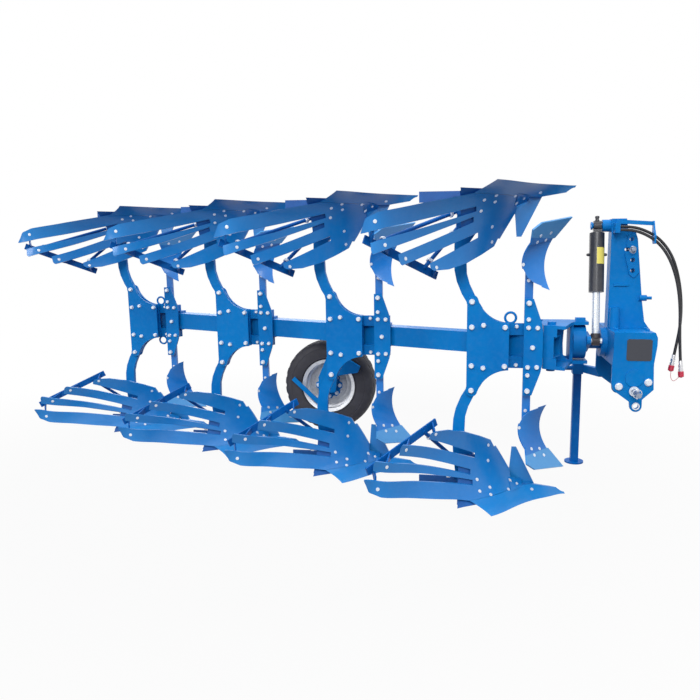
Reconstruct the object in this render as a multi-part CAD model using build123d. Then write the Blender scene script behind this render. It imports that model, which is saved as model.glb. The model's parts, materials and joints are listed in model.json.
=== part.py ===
from build123d import *
import math
import os

# Four-furrow mounted reversible plough. +X is the way of travel, +Y is left, +Z is up.
# The model is laid out about the turnover plane: z = 0 is the middle of the beam,
# x = 0 and y = 0 are the rear bolt row and near face of the first pair of leg plates.
# At the end everything moves so that the origin is under the middle of the whole plough.

# Driving dimensions, in millimetres
BODIES = 4
BODY_PITCH = 900.0
FURROW = 400.0
CLEARANCE = 860.0
POINT_DROP = 14.0
GROUND_Z = -CLEARANCE - POINT_DROP
BEAM_SIZE = 120.0
BEAM_WALL = 10.0
BEAM_FRONT_X = 470.0
BEAM_TAIL = 28.0
BEAM_REAR_X = -(BODIES - 1) * BODY_PITCH - BEAM_TAIL
BEAM_MID_X = 380.0
BEAM_MID_Y = 88.0
SEAT_GAP = 0.3
SLOPE = FURROW / BODY_PITCH
BEAM_ANGLE = math.degrees(math.atan(SLOPE))

# Leg plates and legs: near plate, leg, far plate and console flange lie one behind another
PLATE_T = 14.0
LEG_T = 30.0
LEG_Y = PLATE_T + SEAT_GAP
FAR_PLATE_Y = LEG_Y + LEG_T + SEAT_GAP
FLANGE_Y = FAR_PLATE_Y + PLATE_T + SEAT_GAP
FLANGE_T = 15.0
CONSOLE_T = 15.0
CONSOLE_TOP = 127.0

# Plough bodies: a curved plate between sections across the way of travel
SKIN_T = 12.0
SHARE_T = 12.0
FROG_T = 14.0
SEAM = 0.6
FROG_GAP = max(SKIN_T, SHARE_T) + SEAT_GAP
LANDSIDE_Y = 112.0
LANDSIDE_T = 12.0
LANDSIDE_LONG = 305.0
LANDSIDE_H = 62.0
FIN_TOP = 256.0
LOFT_SECTIONS = 12
CUT_REACH = 900.0

# Headstock
AXIS_Y = 280.0
HEAD_X0 = 770.0
HEAD_X1 = 985.0
NEAR_Y = 20.0
FAR_Y = 2 * AXIS_Y - NEAR_Y
CHEEK_T = 20.0
BOX_TOP = 85.0
BOX_BOTTOM = -100.0
BOX_WALL = 15.0
HOUSING_X0 = 735.0
HOUSING_R = 84.0
SHAFT_R = 40.0
RUNNING = 0.05
TOWER_TOP = 702.0
TOPLINK_GAP = 52.0
TOPLINK_R = 12.75
HITCH_PIN_R = 14.0
HITCH_SPAN = 683.0
COLLAR_R = 22.0
HITCH_X = 885.0
HITCH_Z = -236.0
LUG_X = 900.0
LUG_Z = -322.0

# Turnover drum, crank and cylinder
DRUM_X1 = 652.0
DRUM_R = 98.0
CRANK_T = 18.0
CRANK_R = 110.0
CYL_X = 697.0
EYE_T = 42.0
EYE_R = 26.0
BARREL_R = 42.0
ROD_R = 21.0
CYL_TOP_Z = 665.0
BARREL_TOP = 42.0
BARREL_LONG = 336.0
ROD_IN = 150.0
CYL_PIN_R = 15.0
PORT_Z = -165.0

# Depth wheel
ARM_BEHIND = 40.0
ARM_OUT = 99.33333
ARM_X = -BODY_PITCH - ARM_BEHIND
ARM_Y0 = BEAM_MID_Y + SLOPE * (BEAM_MID_X - ARM_X) + ARM_OUT
ARM_T = 24.0
ARM_PIN_R = 22.0
WHEEL_X = ARM_X - 82.0
WHEEL_Z = -411.0
WHEEL_Y0 = ARM_Y0 + ARM_T + 10.0
TYRE_W = 190.0
TYRE_R = 325.0
RIM_R = 190.0
RIM_SEAT_R = 172.0
HUB_R = 50.0
HUB_SEAT = 52.0
HUB_LONG = 128.0
HUB_FLANGE_R = 78.0
HUB_LOBES = 8
HUB_NOTCH_AT = 84.0
HUB_NOTCH_R = 16.0
AXLE_R = 25.0

# Front fork between the beam and the drum
FRAME_T = 18.0
FRAME_H = 122.0
FORK_X0 = 392.0
FORK_X1 = 578.0
FORK_END_X = 664.0
FORK_HALF = 75.0
CRANK_ANGLE = 10.0

# Hydraulic hoses
HOSE_R = 8.0
HOSE_PITCH = 22.0
HOSE_Y = 195.0
HOLDER_X = 988.0

# Parking stand
STAND_X = 682.0
STAND_Y = 713.0
STAND_SIZE = 50.0
STAND_FOOT_R = 62.0
STAND_TOP_Z = -150.0
STAND_HOLD_Z = -233.0
STAND_FIT = 0.5
STAND_PIN_R = 15.0
STAND_PIN_X = 538.0


def plate_xz(outline, y0, thick, corner=0.0):
    """Plate cut to an outline of (x, z) points, from y0 to y0 + thick."""
    sketch = Polygon(*outline, align=None)
    if corner:
        sketch = fillet(sketch.vertices(), corner)
    base = Plane(origin=(0, y0, 0), x_dir=(1, 0, 0), z_dir=(0, -1, 0))
    return extrude(base * sketch, amount=thick, dir=(0, 1, 0))


def plate_xy(outline, z0, thick, corner=0.0):
    """Plate cut to an outline of (x, y) points, from z0 to z0 + thick."""
    sketch = Polygon(*outline, align=None)
    if corner:
        sketch = fillet(sketch.vertices(), corner)
    return extrude(Plane.XY.offset(z0) * sketch, amount=thick, dir=(0, 0, 1))


def plate_yz(outline, x0, thick, corner=0.0):
    """Plate cut to an outline of (y, z) points, from x0 to x0 + thick."""
    sketch = Polygon(*outline, align=None)
    if corner:
        sketch = fillet(sketch.vertices(), corner)
    return extrude(Plane.YZ.offset(x0) * sketch, amount=thick, dir=(1, 0, 0))


def block(x0, x1, y0, y1, z0, z1):
    """Rectangular block between two corners."""
    size = (x1 - x0, y1 - y0, z1 - z0)
    return Pos((x0 + x1) / 2, (y0 + y1) / 2, (z0 + z1) / 2) * Box(*size)


def bar_y(x, z, radius, y0, y1):
    """Round bar along Y."""
    return Pos(x, (y0 + y1) / 2, z) * Rot(90, 0, 0) * Cylinder(radius, y1 - y0)


def bar_x(y, z, radius, x0, x1):
    """Round bar along X."""
    return Pos((x0 + x1) / 2, y, z) * Rot(0, 90, 0) * Cylinder(radius, x1 - x0)


def bar_z(x, y, radius, z0, z1):
    """Round bar along Z."""
    return Pos(x, y, (z0 + z1) / 2) * Cylinder(radius, z1 - z0)


def rod_between(start, end, radius):
    """Round bar between two points."""
    run = Vector(*end) - Vector(*start)
    return extrude(Plane(origin=start, z_dir=run) * Circle(radius), amount=run.length)


def flat_between(start, end, width, thick, lean):
    """Flat bar between two points, its width set along the direction lean."""
    run = Vector(*end) - Vector(*start)
    across = Vector(*lean) - run * (Vector(*lean).dot(run) / run.length ** 2)
    frame = Plane(origin=start, x_dir=across, z_dir=run)
    return extrude(frame * Rectangle(width, thick), amount=run.length)


def panel(points, thick):
    """Flat plate through its first three points, the others laid on their plane."""
    a, b, c = (Vector(*p) for p in points[:3])
    normal = (b - a).cross(c - a).normalized()
    if normal.Y < 0:
        normal = normal * -1
    frame = Plane(origin=a, x_dir=(b - a).normalized(), z_dir=normal)
    local = [frame.to_local_coords(Vector(*p)) for p in points]
    return extrude(frame * Polygon(*[(v.X, v.Y) for v in local], align=None), amount=thick)


def flipped(shape):
    """The same shape on the other side of the beam."""
    return mirror(shape, about=Plane.XY)


def beam_y(x):
    """Y of the middle of the beam at x."""
    return BEAM_MID_Y + SLOPE * (BEAM_MID_X - x)


# Sections of the working surface: x, then (y, height) low, middle and high
SECTIONS = (
    (575.0, (92.0, -24.0), (112.0, 10.0), (124.0, 40.0)),
    (430.0, (22.0, -24.0), (90.0, 28.0), (132.0, 80.0)),
    (250.0, (-185.0, -24.0), (32.0, 60.0), (165.0, 200.0)),
    (130.0, (-325.0, -24.0), (-58.0, 108.0), (86.0, 320.0)),
    (10.0, (-290.0, 5.0), (-118.0, 150.0), (-68.0, 400.0)),
    (-190.0, (-375.0, 55.0), (-240.0, 270.0), (-264.0, 460.0)),
    (-360.0, (-468.0, 85.0), (-416.0, 270.0), (-470.0, 460.0)),
    (-545.0, (-580.0, 100.0), (-590.0, 260.0), (-690.0, 460.0)),
)

# Outlines seen from the side, as (x, height above the share edge)
SHARE_OUTLINE = (
    (551.0, -POINT_DROP),
    (121.0, -POINT_DROP),
    (4.0, 46.0),
    (366.0, 44.0),
    (533.0, 16.0),
)
SKIN_OUTLINE = (
    (0.0, 46.0 + SEAM),
    (-250.0, 103.0),
    (-440.0, 150.0),
    (-500.0, 178.0),
    (-523.0, 259.0),
    (-478.0, 288.0),
    (-468.0, 358.0),
    (-357.0, 343.0),
    (-343.0, 413.0),
    (-214.0, 391.0),
    (-207.0, 434.0),
    (-120.0, 428.0),
    (-30.0, 398.0),
    (50.0, 352.0),
    (116.0, 308.0),
    (136.0, 266.0),
    (146.0, 267.0),
    (227.0, 129.0),
    (240.0, 46.0 + SEAM),
)
# Rounded corners of the slat tails, with their radii
SLAT_ROUNDS = (
    ((-500.0, 178.0), 24.0),
    ((-523.0, 259.0), 22.0),
    ((-468.0, 358.0), 28.0),
    ((-343.0, 413.0), 30.0),
    ((-207.0, 434.0), 26.0),
)
# Gaps between the slats: front x, low and high edge there, then the same at the rear
SLOTS = (
    (18.0, 106.0, 130.0, -620.0, 279.0, 342.0),
    (4.0, 157.0, 184.0, -620.0, 413.0, 470.0),
    (27.0, 237.0, 263.0, -520.0, 487.0, 566.0),
)
FIN_OUTLINE = (
    (205.0, 60.0),
    (227.0, 129.0),
    (238.0, FIN_TOP),
    (265.0, FIN_TOP),
    (372.0, 40.0),
    (360.0, 20.0),
)
FIN_FOOT = ((290.0, 14.0), (400.0, 14.0), (372.0, 40.0), (290.0, 40.0))
FROG_X = -63.0
FROG_OUTLINE = ((FROG_X, 36.0), (150.0, 36.0), (120.0, 170.0), (40.0, 235.0), (FROG_X, 235.0))
FROG_FOOT = ((-60.0, 22.0), (196.0, 22.0), (196.0, 40.0), (-60.0, 40.0))
FROG_RIB = ((16.0, 30.0), (30.0, 30.0), (30.0, 215.0), (16.0, 215.0))
# Slat tails: where each is bolted to its stay arm, and the place on the stay bar
SLAT_ARMS = (
    ((-456.0, 197.0), 0.92),
    ((-413.0, 306.0), 0.68),
    ((-323.0, 368.0), 0.40),
    ((-182.0, 414.0), 0.06),
)
STAY_TOP = (-186.0, -145.0, 462.0)
STAY_TAIL = (-515.0, -478.0, 275.0)
# Struts: root on the frog as (x, y, height), and the place on the stay bar
STRUTS = (
    ((-80.0, -8.0, 205.0), 0.2),
    ((-80.0, -30.0, 120.0), 0.88),
)


def arc_offset(points, distance):
    """Three points of the concentric arc that lies further back."""
    (ay, az), (by, bz), (cy, cz) = points
    d = 2 * (ay * (bz - cz) + by * (cz - az) + cy * (az - bz))
    a2 = ay * ay + az * az
    b2 = by * by + bz * bz
    c2 = cy * cy + cz * cz
    oy = (a2 * (bz - cz) + b2 * (cz - az) + c2 * (az - bz)) / d
    oz = (a2 * (cy - by) + b2 * (ay - cy) + c2 * (by - ay)) / d
    radius = math.hypot(ay - oy, az - oz)
    grow = (radius + distance) / radius
    return [(oy + (y - oy) * grow, oz + (z - oz) * grow) for y, z in points]


def section_at(x):
    """Low, middle and high point of the working surface at x, on a smooth line through the table."""
    places = [row[0] for row in SECTIONS]
    i = min(max(sum(1 for place in places[1:-1] if place >= x), 0), len(places) - 2)
    span = places[i + 1] - places[i]
    t = (x - places[i]) / span
    points = []
    for n in (1, 2, 3):
        pair = []
        for axis in (0, 1):
            values = [row[n][axis] for row in SECTIONS]
            steps = [(b - a) / (q - p) for a, b, p, q in zip(values, values[1:], places, places[1:])]
            slopes = [steps[0]] + [(a + b) / 2 for a, b in zip(steps, steps[1:])] + [steps[-1]]
            rise = values[i + 1] - values[i]
            start = slopes[i] * span - rise
            end = rise - slopes[i + 1] * span
            pair.append(values[i] + t * rise + t * (1 - t) * ((1 - t) * start + t * end))
        points.append(tuple(pair))
    return points


def curved_layer(front, back):
    """Solid between two curved surfaces, at distances front and back behind the face."""
    faces = []
    first = SECTIONS[0][0]
    step = (SECTIONS[-1][0] - first) / (LOFT_SECTIONS - 1)
    for n in range(LOFT_SECTIONS):
        x = first + step * n
        points = section_at(x)
        a = [(x, y, z - CLEARANCE) for y, z in arc_offset(points, front)]
        b = [(x, y, z - CLEARANCE) for y, z in arc_offset(points, back)]
        edges = [
            ThreePointArc(*a),
            Line(a[2], b[2]),
            ThreePointArc(b[2], b[1], b[0]),
            Line(b[0], a[0]),
        ]
        faces.append(make_face(Wire(edges)))
    return loft(faces)


def side_cut(outline, y0=-CUT_REACH, y1=LANDSIDE_Y - SEAT_GAP, rounds=()):
    """Prism along Y from an outline of (x, height) points, rounded at some of them."""
    sketch = Polygon(*[(x, z - CLEARANCE) for x, z in outline], align=None)
    for (x, z), radius in rounds:
        corner = sketch.vertices().sort_by_distance((x, z - CLEARANCE, 0))[0]
        sketch = fillet(corner, radius)
    base = Plane(origin=(0, y0, 0), x_dir=(1, 0, 0), z_dir=(0, -1, 0))
    return extrude(base * sketch, amount=y1 - y0, dir=(0, 1, 0))


def behind(shape, distance):
    """What is left of a shape behind the working face, at a distance from it."""
    return (shape - curved_layer(-1.0, distance)).solids().sort_by(Axis.Y)[-1]


def surface_y(x, height):
    """Y of the working face at a place seen from the side."""
    probe = side_cut([(x - 1, height - 1), (x + 1, height - 1), (x + 1, height + 1), (x - 1, height + 1)])
    return (probe & curved_layer(0, SKIN_T)).bounding_box().min.Y


def make_share():
    """Share with its point, and the upright fin on its landside."""
    share = curved_layer(0, SHARE_T) & side_cut(SHARE_OUTLINE)
    fin = side_cut(FIN_OUTLINE, LANDSIDE_Y - SEAT_GAP, LANDSIDE_Y - SEAT_GAP + LANDSIDE_T)
    foot = behind(side_cut(FIN_FOOT, -200.0, LANDSIDE_Y + 5), SHARE_T - 4)
    return share + foot + fin


def make_mouldboard():
    """Curved breast with four slats behind it."""
    board = curved_layer(0, SKIN_T) & side_cut(SKIN_OUTLINE, rounds=SLAT_ROUNDS)
    for x0, low0, high0, x1, low1, high1 in SLOTS:
        board -= side_cut([(x0, low0), (x1, low1), (x1, high1), (x0, high0)])
    return board


def make_frog():
    """Open casting behind the share and mouldboard, with the landside plate."""
    side = LEG_Y - SEAT_GAP
    shell = side_cut(FROG_OUTLINE, -400.0, side) & curved_layer(0, FROG_GAP + FROG_T)
    raw = shell + side_cut(FROG_OUTLINE, side - FROG_T, side)
    raw += side_cut(FROG_FOOT, -400.0, LANDSIDE_Y + 1)
    raw += side_cut(FROG_RIB, -400.0, side - 1)
    rail = [(-LANDSIDE_LONG, 2.0), (200.0, 2.0), (200.0, LANDSIDE_H), (-LANDSIDE_LONG, LANDSIDE_H)]
    raw += side_cut(rail, LANDSIDE_Y, LANDSIDE_Y + LANDSIDE_T)
    return behind(raw, FROG_GAP)


def make_stay():
    """Angle bar behind the slat tails, its arms and its two adjustable struts."""
    top = Vector(*STAY_TOP) - Vector(0, 0, CLEARANCE)
    tail = Vector(*STAY_TAIL) - Vector(0, 0, CLEARANCE)
    stay = flat_between(top, tail, 42.0, 10.0, (0, 0, 1))
    for (x, height), place in SLAT_ARMS:
        end = top + (tail - top) * place
        start = Vector(x, surface_y(x, height) - 12.0, height - CLEARANCE)
        arm = flat_between(start, end, 36.0, 8.0, (0, 0, 1))
        stay += behind(arm, SKIN_T + SEAT_GAP)
    for (x, y, height), place in STRUTS:
        root = Vector(x, y, height - CLEARANCE)
        stay += rod_between(root, top + (tail - top) * place, 11.0)
        stay += block(x - 8, FROG_X - SEAT_GAP, y - 20, y + 20, root.Z - 20, root.Z + 20)
    return stay


LEG_OUTLINE = (
    (-24.0, -88.0),
    (95.0, -88.0),
    (95.0, -125.0),
    (58.0, -215.0),
    (17.0, -280.0),
    (-14.0, -345.0),
    (-31.0, -405.0),
    (-34.0, -491.0),
    (-28.0, -560.0),
    (20.0, -630.0),
    (70.0, -700.0),
    (62.0, -792.0),
    (-80.0, -792.0),
    (-100.0, -600.0),
    (-102.0, -478.0),
    (-99.0, -421.0),
    (-86.0, -361.0),
    (-58.0, -293.0),
    (-26.0, -240.0),
)


def make_leg():
    """Curved leg that carries one body."""
    return plate_xz(LEG_OUTLINE, LEG_Y, LEG_T)


def leg_plate(y0):
    """One of the pair of plates that clamp the legs, the same above and below."""
    edges = [
        Line((-27, -236), (-27, 236)),
        ThreePointArc((-27, 236), (-4, 284), (33, 262)),
        ThreePointArc((33, 262), (94, 172), (205, 131)),
        Line((205, 131), (205, -131)),
        ThreePointArc((205, -131), (94, -172), (33, -262)),
        ThreePointArc((33, -262), (-4, -284), (-27, -236)),
    ]
    base = Plane(origin=(0, y0, 0), x_dir=(1, 0, 0), z_dir=(0, -1, 0))
    return extrude(base * make_face(Wire(edges)), amount=PLATE_T, dir=(0, 1, 0))


def make_leg_plates():
    """Near and far plate with the spacer between them."""
    spacer = block(110, 198, PLATE_T - 1, FAR_PLATE_Y + 1, -70, 70)
    return leg_plate(0) + leg_plate(FAR_PLATE_Y) + spacer


def make_console():
    """Angle that clamps the top or bottom of the beam and carries the leg plates."""
    low = BEAM_SIZE / 2 + SEAT_GAP
    half = BEAM_SIZE / 2 / math.cos(math.radians(BEAM_ANGLE))
    x0, x1 = -25.0, 376.0
    shelf = [
        (x0, FLANGE_Y),
        (x1, FLANGE_Y),
        (x1, beam_y(x1) + half),
        (x0, beam_y(x0) + half),
    ]
    flange = block(x0, x1, FLANGE_Y, FLANGE_Y + FLANGE_T, low, CONSOLE_TOP)
    return plate_xy(shelf, low, CONSOLE_T) + flange


SKIM_PLATE = (
    (285.0, -268.0),
    (334.0, -268.0),
    (379.0, -140.0),
    (388.0, -90.0),
    (388.0, 90.0),
    (379.0, 140.0),
    (334.0, 268.0),
    (285.0, 268.0),
)
SKIM_PLATE_Y = -11.0
SKIM_PLATE_T = 12.0
SHANK_T = 24.0


def make_skim_bracket():
    """Plate and ribs that hold the two skimmer shanks in front of the beam."""
    bracket = plate_xz(SKIM_PLATE, SKIM_PLATE_Y, SKIM_PLATE_T)
    for x in (296.0, 362.0):
        for low, high in ((78.0, 126.0), (-126.0, -78.0)):
            bracket += block(x, x + 12, 0, FLANGE_Y - SEAT_GAP, low, high)
    return bracket


# Skimmer board generators: left point then right point, as (x, y, height)
SKIM_LINES = (
    ((308.0, -52.0, 290.0), (446.0, 92.0, 249.0)),
    ((268.0, -25.0, 385.0), (392.0, 66.0, 378.0)),
    ((300.0, -15.0, 500.0), (415.0, -25.0, 544.0)),
)
# Skimmer share: tip, outer corner, top right, top left and rear of the edge, as (x, y, height)
SKIM_SHARE = (
    (530.0, 104.0, 149.0),
    (438.5, 92.6, 260.0),
    (301.0, -46.0, 300.0),
    (327.0, -129.0, 240.0),
    (381.0, -109.0, 208.0),
)
# Corner that is missing from the top of the skimmer board, as (x, height) points
SKIM_CORNER = (
    (240.0, 430.0),
    (272.0, 430.0),
    (296.0, 476.0),
    (330.0, 504.0),
    (372.0, 522.0),
    (372.0, 560.0),
    (240.0, 560.0),
)
SKIM_T = 8.0


def make_skimmer():
    """Skimmer shank with its small curved board and flat share."""
    faces = []
    for left, right in SKIM_LINES:
        a = Vector(*left) - Vector(0, 0, CLEARANCE)
        b = Vector(*right) - Vector(0, 0, CLEARANCE)
        back = Vector(-(b - a).Y, (b - a).X, 0).normalized() * SKIM_T
        faces.append(make_face(Polyline(a, b, b + back, a + back, close=True)))
    board = loft(faces) - side_cut(SKIM_CORNER, -200.0, 200.0)
    share = panel([(x, y, z - CLEARANCE) for x, y, z in SKIM_SHARE], SKIM_T + 2)
    shank_y = FLANGE_Y - SEAT_GAP - SHANK_T
    foot_z = 385.0 - CLEARANCE
    foot = plate_xy([(284, -60), (332, -60), (332, shank_y + 1), (284, shank_y + 1)], foot_z - 16, 40)
    foot = (foot - board).solids().sort_by(Axis.Y)[-1]
    shank = block(287, 332, shank_y, shank_y + SHANK_T, foot_z - 16, -130)
    pad = block(289, 330, SKIM_PLATE_Y + SKIM_PLATE_T + SEAT_GAP, shank_y + 1, -262, -134)
    return board + foot + shank + pad + share


def make_beam():
    """Square tube along the whole row of bodies, closed at its rear."""
    long = (BEAM_FRONT_X - BEAM_REAR_X) / math.cos(math.radians(BEAM_ANGLE))
    inner = BEAM_SIZE - 2 * BEAM_WALL
    tube = Box(long, BEAM_SIZE, BEAM_SIZE) - Pos(BEAM_WALL, 0, 0) * Box(long, inner, inner)
    mid = (BEAM_FRONT_X + BEAM_REAR_X) / 2
    return Pos(mid, beam_y(mid), 0) * Rot(0, 0, -BEAM_ANGLE) * tube


# Upper half of a fork cheek, which is open towards the drum, as (x, z) points
FORK_CHEEK = (
    (FORK_X0, 0.0),
    (FORK_X0, FRAME_H),
    (FORK_X1, FRAME_H),
    (FORK_X1, 98.0),
    (548.0, 96.0),
    (524.0, 72.0),
    (520.0, 0.0),
)
CLAMP_X = 462.0
KING_BOLT_X = 440.0
KING_BOLT_R = 24.0
KING_BOLT_H = 16.0
SHELF_PAD = (592.0, 646.0, 221.0, 265.0)
SHELF_PAD_H = 22.0


def make_front_frame():
    """Fork that clamps the front of the beam and leads to the turnover drum."""
    near = AXIS_Y - FORK_HALF
    far = AXIS_Y + FORK_HALF
    shelf = [
        (FORK_X0, 20),
        (505, -34),
        (560, near - 40),
        (FORK_X1, near),
        (FORK_END_X, near + 10),
        (FORK_END_X, far - 10),
        (FORK_X0 + 30, far),
        (FORK_X0, 160),
    ]
    outline = list(FORK_CHEEK) + [(x, -z) for x, z in reversed(FORK_CHEEK[1:-1])]
    frame = plate_xz(outline, near, FRAME_T) + plate_xz(outline, far - FRAME_T, FRAME_T)
    low = BEAM_SIZE / 2 + SEAT_GAP
    half = BEAM_SIZE / 2 / math.cos(math.radians(BEAM_ANGLE)) + SEAT_GAP
    for z0, spacer in ((FRAME_H - FRAME_T, (low, FRAME_H - 1)), (-FRAME_H, (1 - FRAME_H, -low))):
        frame += plate_xy(shelf, z0, FRAME_T)
        block_line = [
            (FORK_X0, beam_y(FORK_X0) - half),
            (CLAMP_X, beam_y(CLAMP_X) - half),
            (CLAMP_X, beam_y(CLAMP_X) + half),
            (FORK_X0, beam_y(FORK_X0) + half),
        ]
        frame += plate_xy(block_line, spacer[0], spacer[1] - spacer[0])
    frame += block(FORK_X1 - FRAME_T, FORK_X1, near, far, -FRAME_H, FRAME_H)
    for z0 in (FRAME_H, -FRAME_H - KING_BOLT_H):
        frame += bar_z(KING_BOLT_X, beam_y(KING_BOLT_X), KING_BOLT_R, z0, z0 + KING_BOLT_H)
    return frame + block(*SHELF_PAD, FRAME_H - 1, FRAME_H + SHELF_PAD_H)


def make_drum():
    """Turnover drum with its shaft and crank arm."""
    drum = bar_x(AXIS_Y, 0, DRUM_R, FORK_X1 + SEAT_GAP, DRUM_X1)
    shaft = bar_x(AXIS_Y, 0, SHAFT_R, DRUM_X1 - 5, HEAD_X1 - 5)
    a = math.radians(CRANK_ANGLE)
    y = AXIS_Y - CRANK_R * math.cos(a)
    z = CRANK_R * math.sin(a)
    eye = bar_x(y, z, EYE_R, DRUM_X1 - 4, DRUM_X1 + CRANK_T)
    web = plate_yz(
        [(AXIS_Y, 60), (AXIS_Y, -60), (y, z - EYE_R + 3), (y, z + EYE_R - 3)],
        DRUM_X1 - 4,
        CRANK_T + 4,
    )
    return drum + shaft + eye + web


HEAD_CHEEK = (
    (775.0, 85.0),
    (985.0, 85.0),
    (997.0, 58.0),
    (997.0, 14.0),
    (984.0, -90.0),
    (990.0, -228.0),
    (932.0, -285.0),
    (932.0, -322.0),
    (868.0, -322.0),
    (866.0, -300.0),
    (778.0, -236.0),
    (766.0, -200.0),
    (766.0, -94.0),
)


def make_headstock():
    """Hitch box with its two drawn-down cheeks and the bearing housing."""
    outer = block(HEAD_X0, HEAD_X1, NEAR_Y + 1, FAR_Y - 1, BOX_BOTTOM, BOX_TOP)
    inner = block(
        HEAD_X0 + BOX_WALL,
        HEAD_X1 - BOX_WALL,
        NEAR_Y + CHEEK_T,
        FAR_Y - CHEEK_T,
        BOX_BOTTOM - 1,
        BOX_TOP - BOX_WALL,
    )
    box = outer - inner + bar_x(AXIS_Y, 0, HOUSING_R, HOUSING_X0, HEAD_X1 + 12)
    for y0 in (NEAR_Y, FAR_Y - CHEEK_T):
        box += plate_xz(HEAD_CHEEK, y0, CHEEK_T, 5)
        box += bar_y(LUG_X, LUG_Z, 32, y0, y0 + CHEEK_T)
    for y0 in (NEAR_Y - 6, FAR_Y - 1):
        box += bar_y(HITCH_X, HITCH_Z + COLLAR_R + 49, 48, y0, y0 + 7)
    box -= bar_x(AXIS_Y, 0, SHAFT_R + RUNNING, HOUSING_X0 - 5, HEAD_X1 - 4)
    box -= bar_y(HITCH_X, HITCH_Z, HITCH_PIN_R + RUNNING, NEAR_Y - 20, FAR_Y + 20)
    return box - bar_y(LUG_X, LUG_Z, HITCH_PIN_R, NEAR_Y - 20, FAR_Y + 20)


TOWER_OUTLINE = (
    (770.0, BOX_TOP + SEAT_GAP),
    (1000.0, BOX_TOP + SEAT_GAP),
    (972.0, 125.0),
    (954.0, 240.0),
    (914.0, 590.0),
    (902.0, 625.0),
    (858.0, 645.0),
    (850.0, TOWER_TOP),
    (770.0, TOWER_TOP),
)
TOPLINK_HOLES = ((892.0, 413.0), (890.0, 472.0), (888.0, 532.0), (880.0, 588.0))
# Ends of the slot beside the second hole, as (x, z), and its radius
SIGHT_SLOT = ((856.0, 531.0), (862.0, 531.0))
SIGHT_SLOT_R = 11.0
# On the near cheek: an upright pipe, a small shelf and a stud with its collar
PIPE_X = 803.0
PIPE_R = 27.0
PIPE_TOP = 204.0
TOWER_SHELF = (795.0, 874.0, 327.0, 339.0)
STUD_Z = 259.0
STUD_STEPS = ((17.0, 936.0, 976.0), (9.0, 975.0, 1004.0))


def make_tower():
    """Two tall cheeks with the top link holes, closed by a rear web."""
    half = TOPLINK_GAP / 2
    thick = CHEEK_T
    tower = plate_xz(TOWER_OUTLINE, AXIS_Y - half - thick, thick)
    tower += plate_xz(TOWER_OUTLINE, AXIS_Y + half, thick)
    tower += block(770, 786, AXIS_Y - half - 1, AXIS_Y + half + 1, BOX_TOP + SEAT_GAP, TOWER_TOP)
    tower += block(786, 850, AXIS_Y - half - 1, AXIS_Y + half + 1, TOWER_TOP - 15, TOWER_TOP)
    pad = [(846, 500), (862, 618), (898, 618), (914, 575), (926, 400), (900, 372), (876, 390)]
    for y0 in (AXIS_Y - half - thick - 9, AXIS_Y + half + thick - 1):
        tower += plate_xz(pad, y0, 10, 8)
    for x, z in TOPLINK_HOLES:
        tower -= bar_y(x, z, TOPLINK_R, AXIS_Y - 120, AXIS_Y + 120)
    eye_x0 = CYL_X - EYE_T / 2
    tower += bar_x(AXIS_Y, CYL_TOP_Z, 34, eye_x0 + EYE_T + 6, 772)
    tower += bar_x(AXIS_Y, CYL_TOP_Z, CYL_PIN_R, eye_x0 - 6, eye_x0 + EYE_T + 8)
    tower += bar_x(AXIS_Y, CYL_TOP_Z, 22, eye_x0 - 14, eye_x0 - 6)
    near = AXIS_Y - half - thick
    tower += bar_z(PIPE_X, near - PIPE_R + 8, PIPE_R, BOX_TOP + SEAT_GAP, PIPE_TOP)
    x0, x1, z0, z1 = TOWER_SHELF
    tower += block(x0, x1, near - 8, near + 1, z0, z1)
    for radius, x0, x1 in STUD_STEPS:
        tower += bar_x(near - 3, STUD_Z, radius, x0, x1)
    (x0, z), (x1, _) = SIGHT_SLOT
    tower -= block(x0, x1, AXIS_Y - 120, AXIS_Y + 120, z - SIGHT_SLOT_R, z + SIGHT_SLOT_R)
    for x in (x0, x1):
        tower -= bar_y(x, z, SIGHT_SLOT_R, AXIS_Y - 120, AXIS_Y + 120)
    return tower


def cylinder_line():
    """Lean of the cylinder from its top pin to the crank, in degrees, and its length."""
    a = math.radians(CRANK_ANGLE)
    dy = -CRANK_R * math.cos(a)
    dz = CRANK_R * math.sin(a) - CYL_TOP_Z
    return math.degrees(math.atan2(-dy, -dz)), math.hypot(dy, dz)


def lean_cylinder(shape):
    """Swing a piece modelled straight down from the top pin into the line of the crank."""
    lean, _ = cylinder_line()
    return Pos(CYL_X, AXIS_Y, CYL_TOP_Z) * Rot(-lean, 0, 0) * shape


def make_barrel():
    """Cylinder barrel with its top eye and a port on each side."""
    barrel = Pos(0, 0, -BARREL_TOP - BARREL_LONG / 2) * Cylinder(BARREL_R, BARREL_LONG)
    barrel += Rot(0, 90, 0) * Cylinder(EYE_R + 2, EYE_T)
    barrel += Pos(0, 0, -30) * Box(EYE_T, 36, 40)
    barrel += Pos(0, 0, PORT_Z) * Rot(0, 90, 0) * Cylinder(7, 2 * BARREL_R + 18)
    barrel -= Rot(0, 90, 0) * Cylinder(CYL_PIN_R + RUNNING, 200)
    depth = BARREL_LONG - 20
    bore = Pos(0, 0, -BARREL_TOP - BARREL_LONG + depth / 2) * Cylinder(ROD_R + RUNNING, depth)
    return lean_cylinder(barrel - bore)


def make_rod():
    """Chrome rod with its eye and the head of its pin."""
    _, long = cylinder_line()
    top = BARREL_TOP + BARREL_LONG - ROD_IN
    rod = Pos(0, 0, -(top + long - 20) / 2) * Cylinder(ROD_R, long - 20 - top)
    rod += Pos(0, 0, -long) * Rot(0, 90, 0) * Cylinder(EYE_R, EYE_T)
    rod += Pos(0, 0, -long + 28) * Cylinder(ROD_R + 5, 24)
    pin = Pos(2, 0, -long) * Rot(0, 90, 0) * Cylinder(CYL_PIN_R, EYE_T + 14)
    return lean_cylinder(rod + pin)


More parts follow.
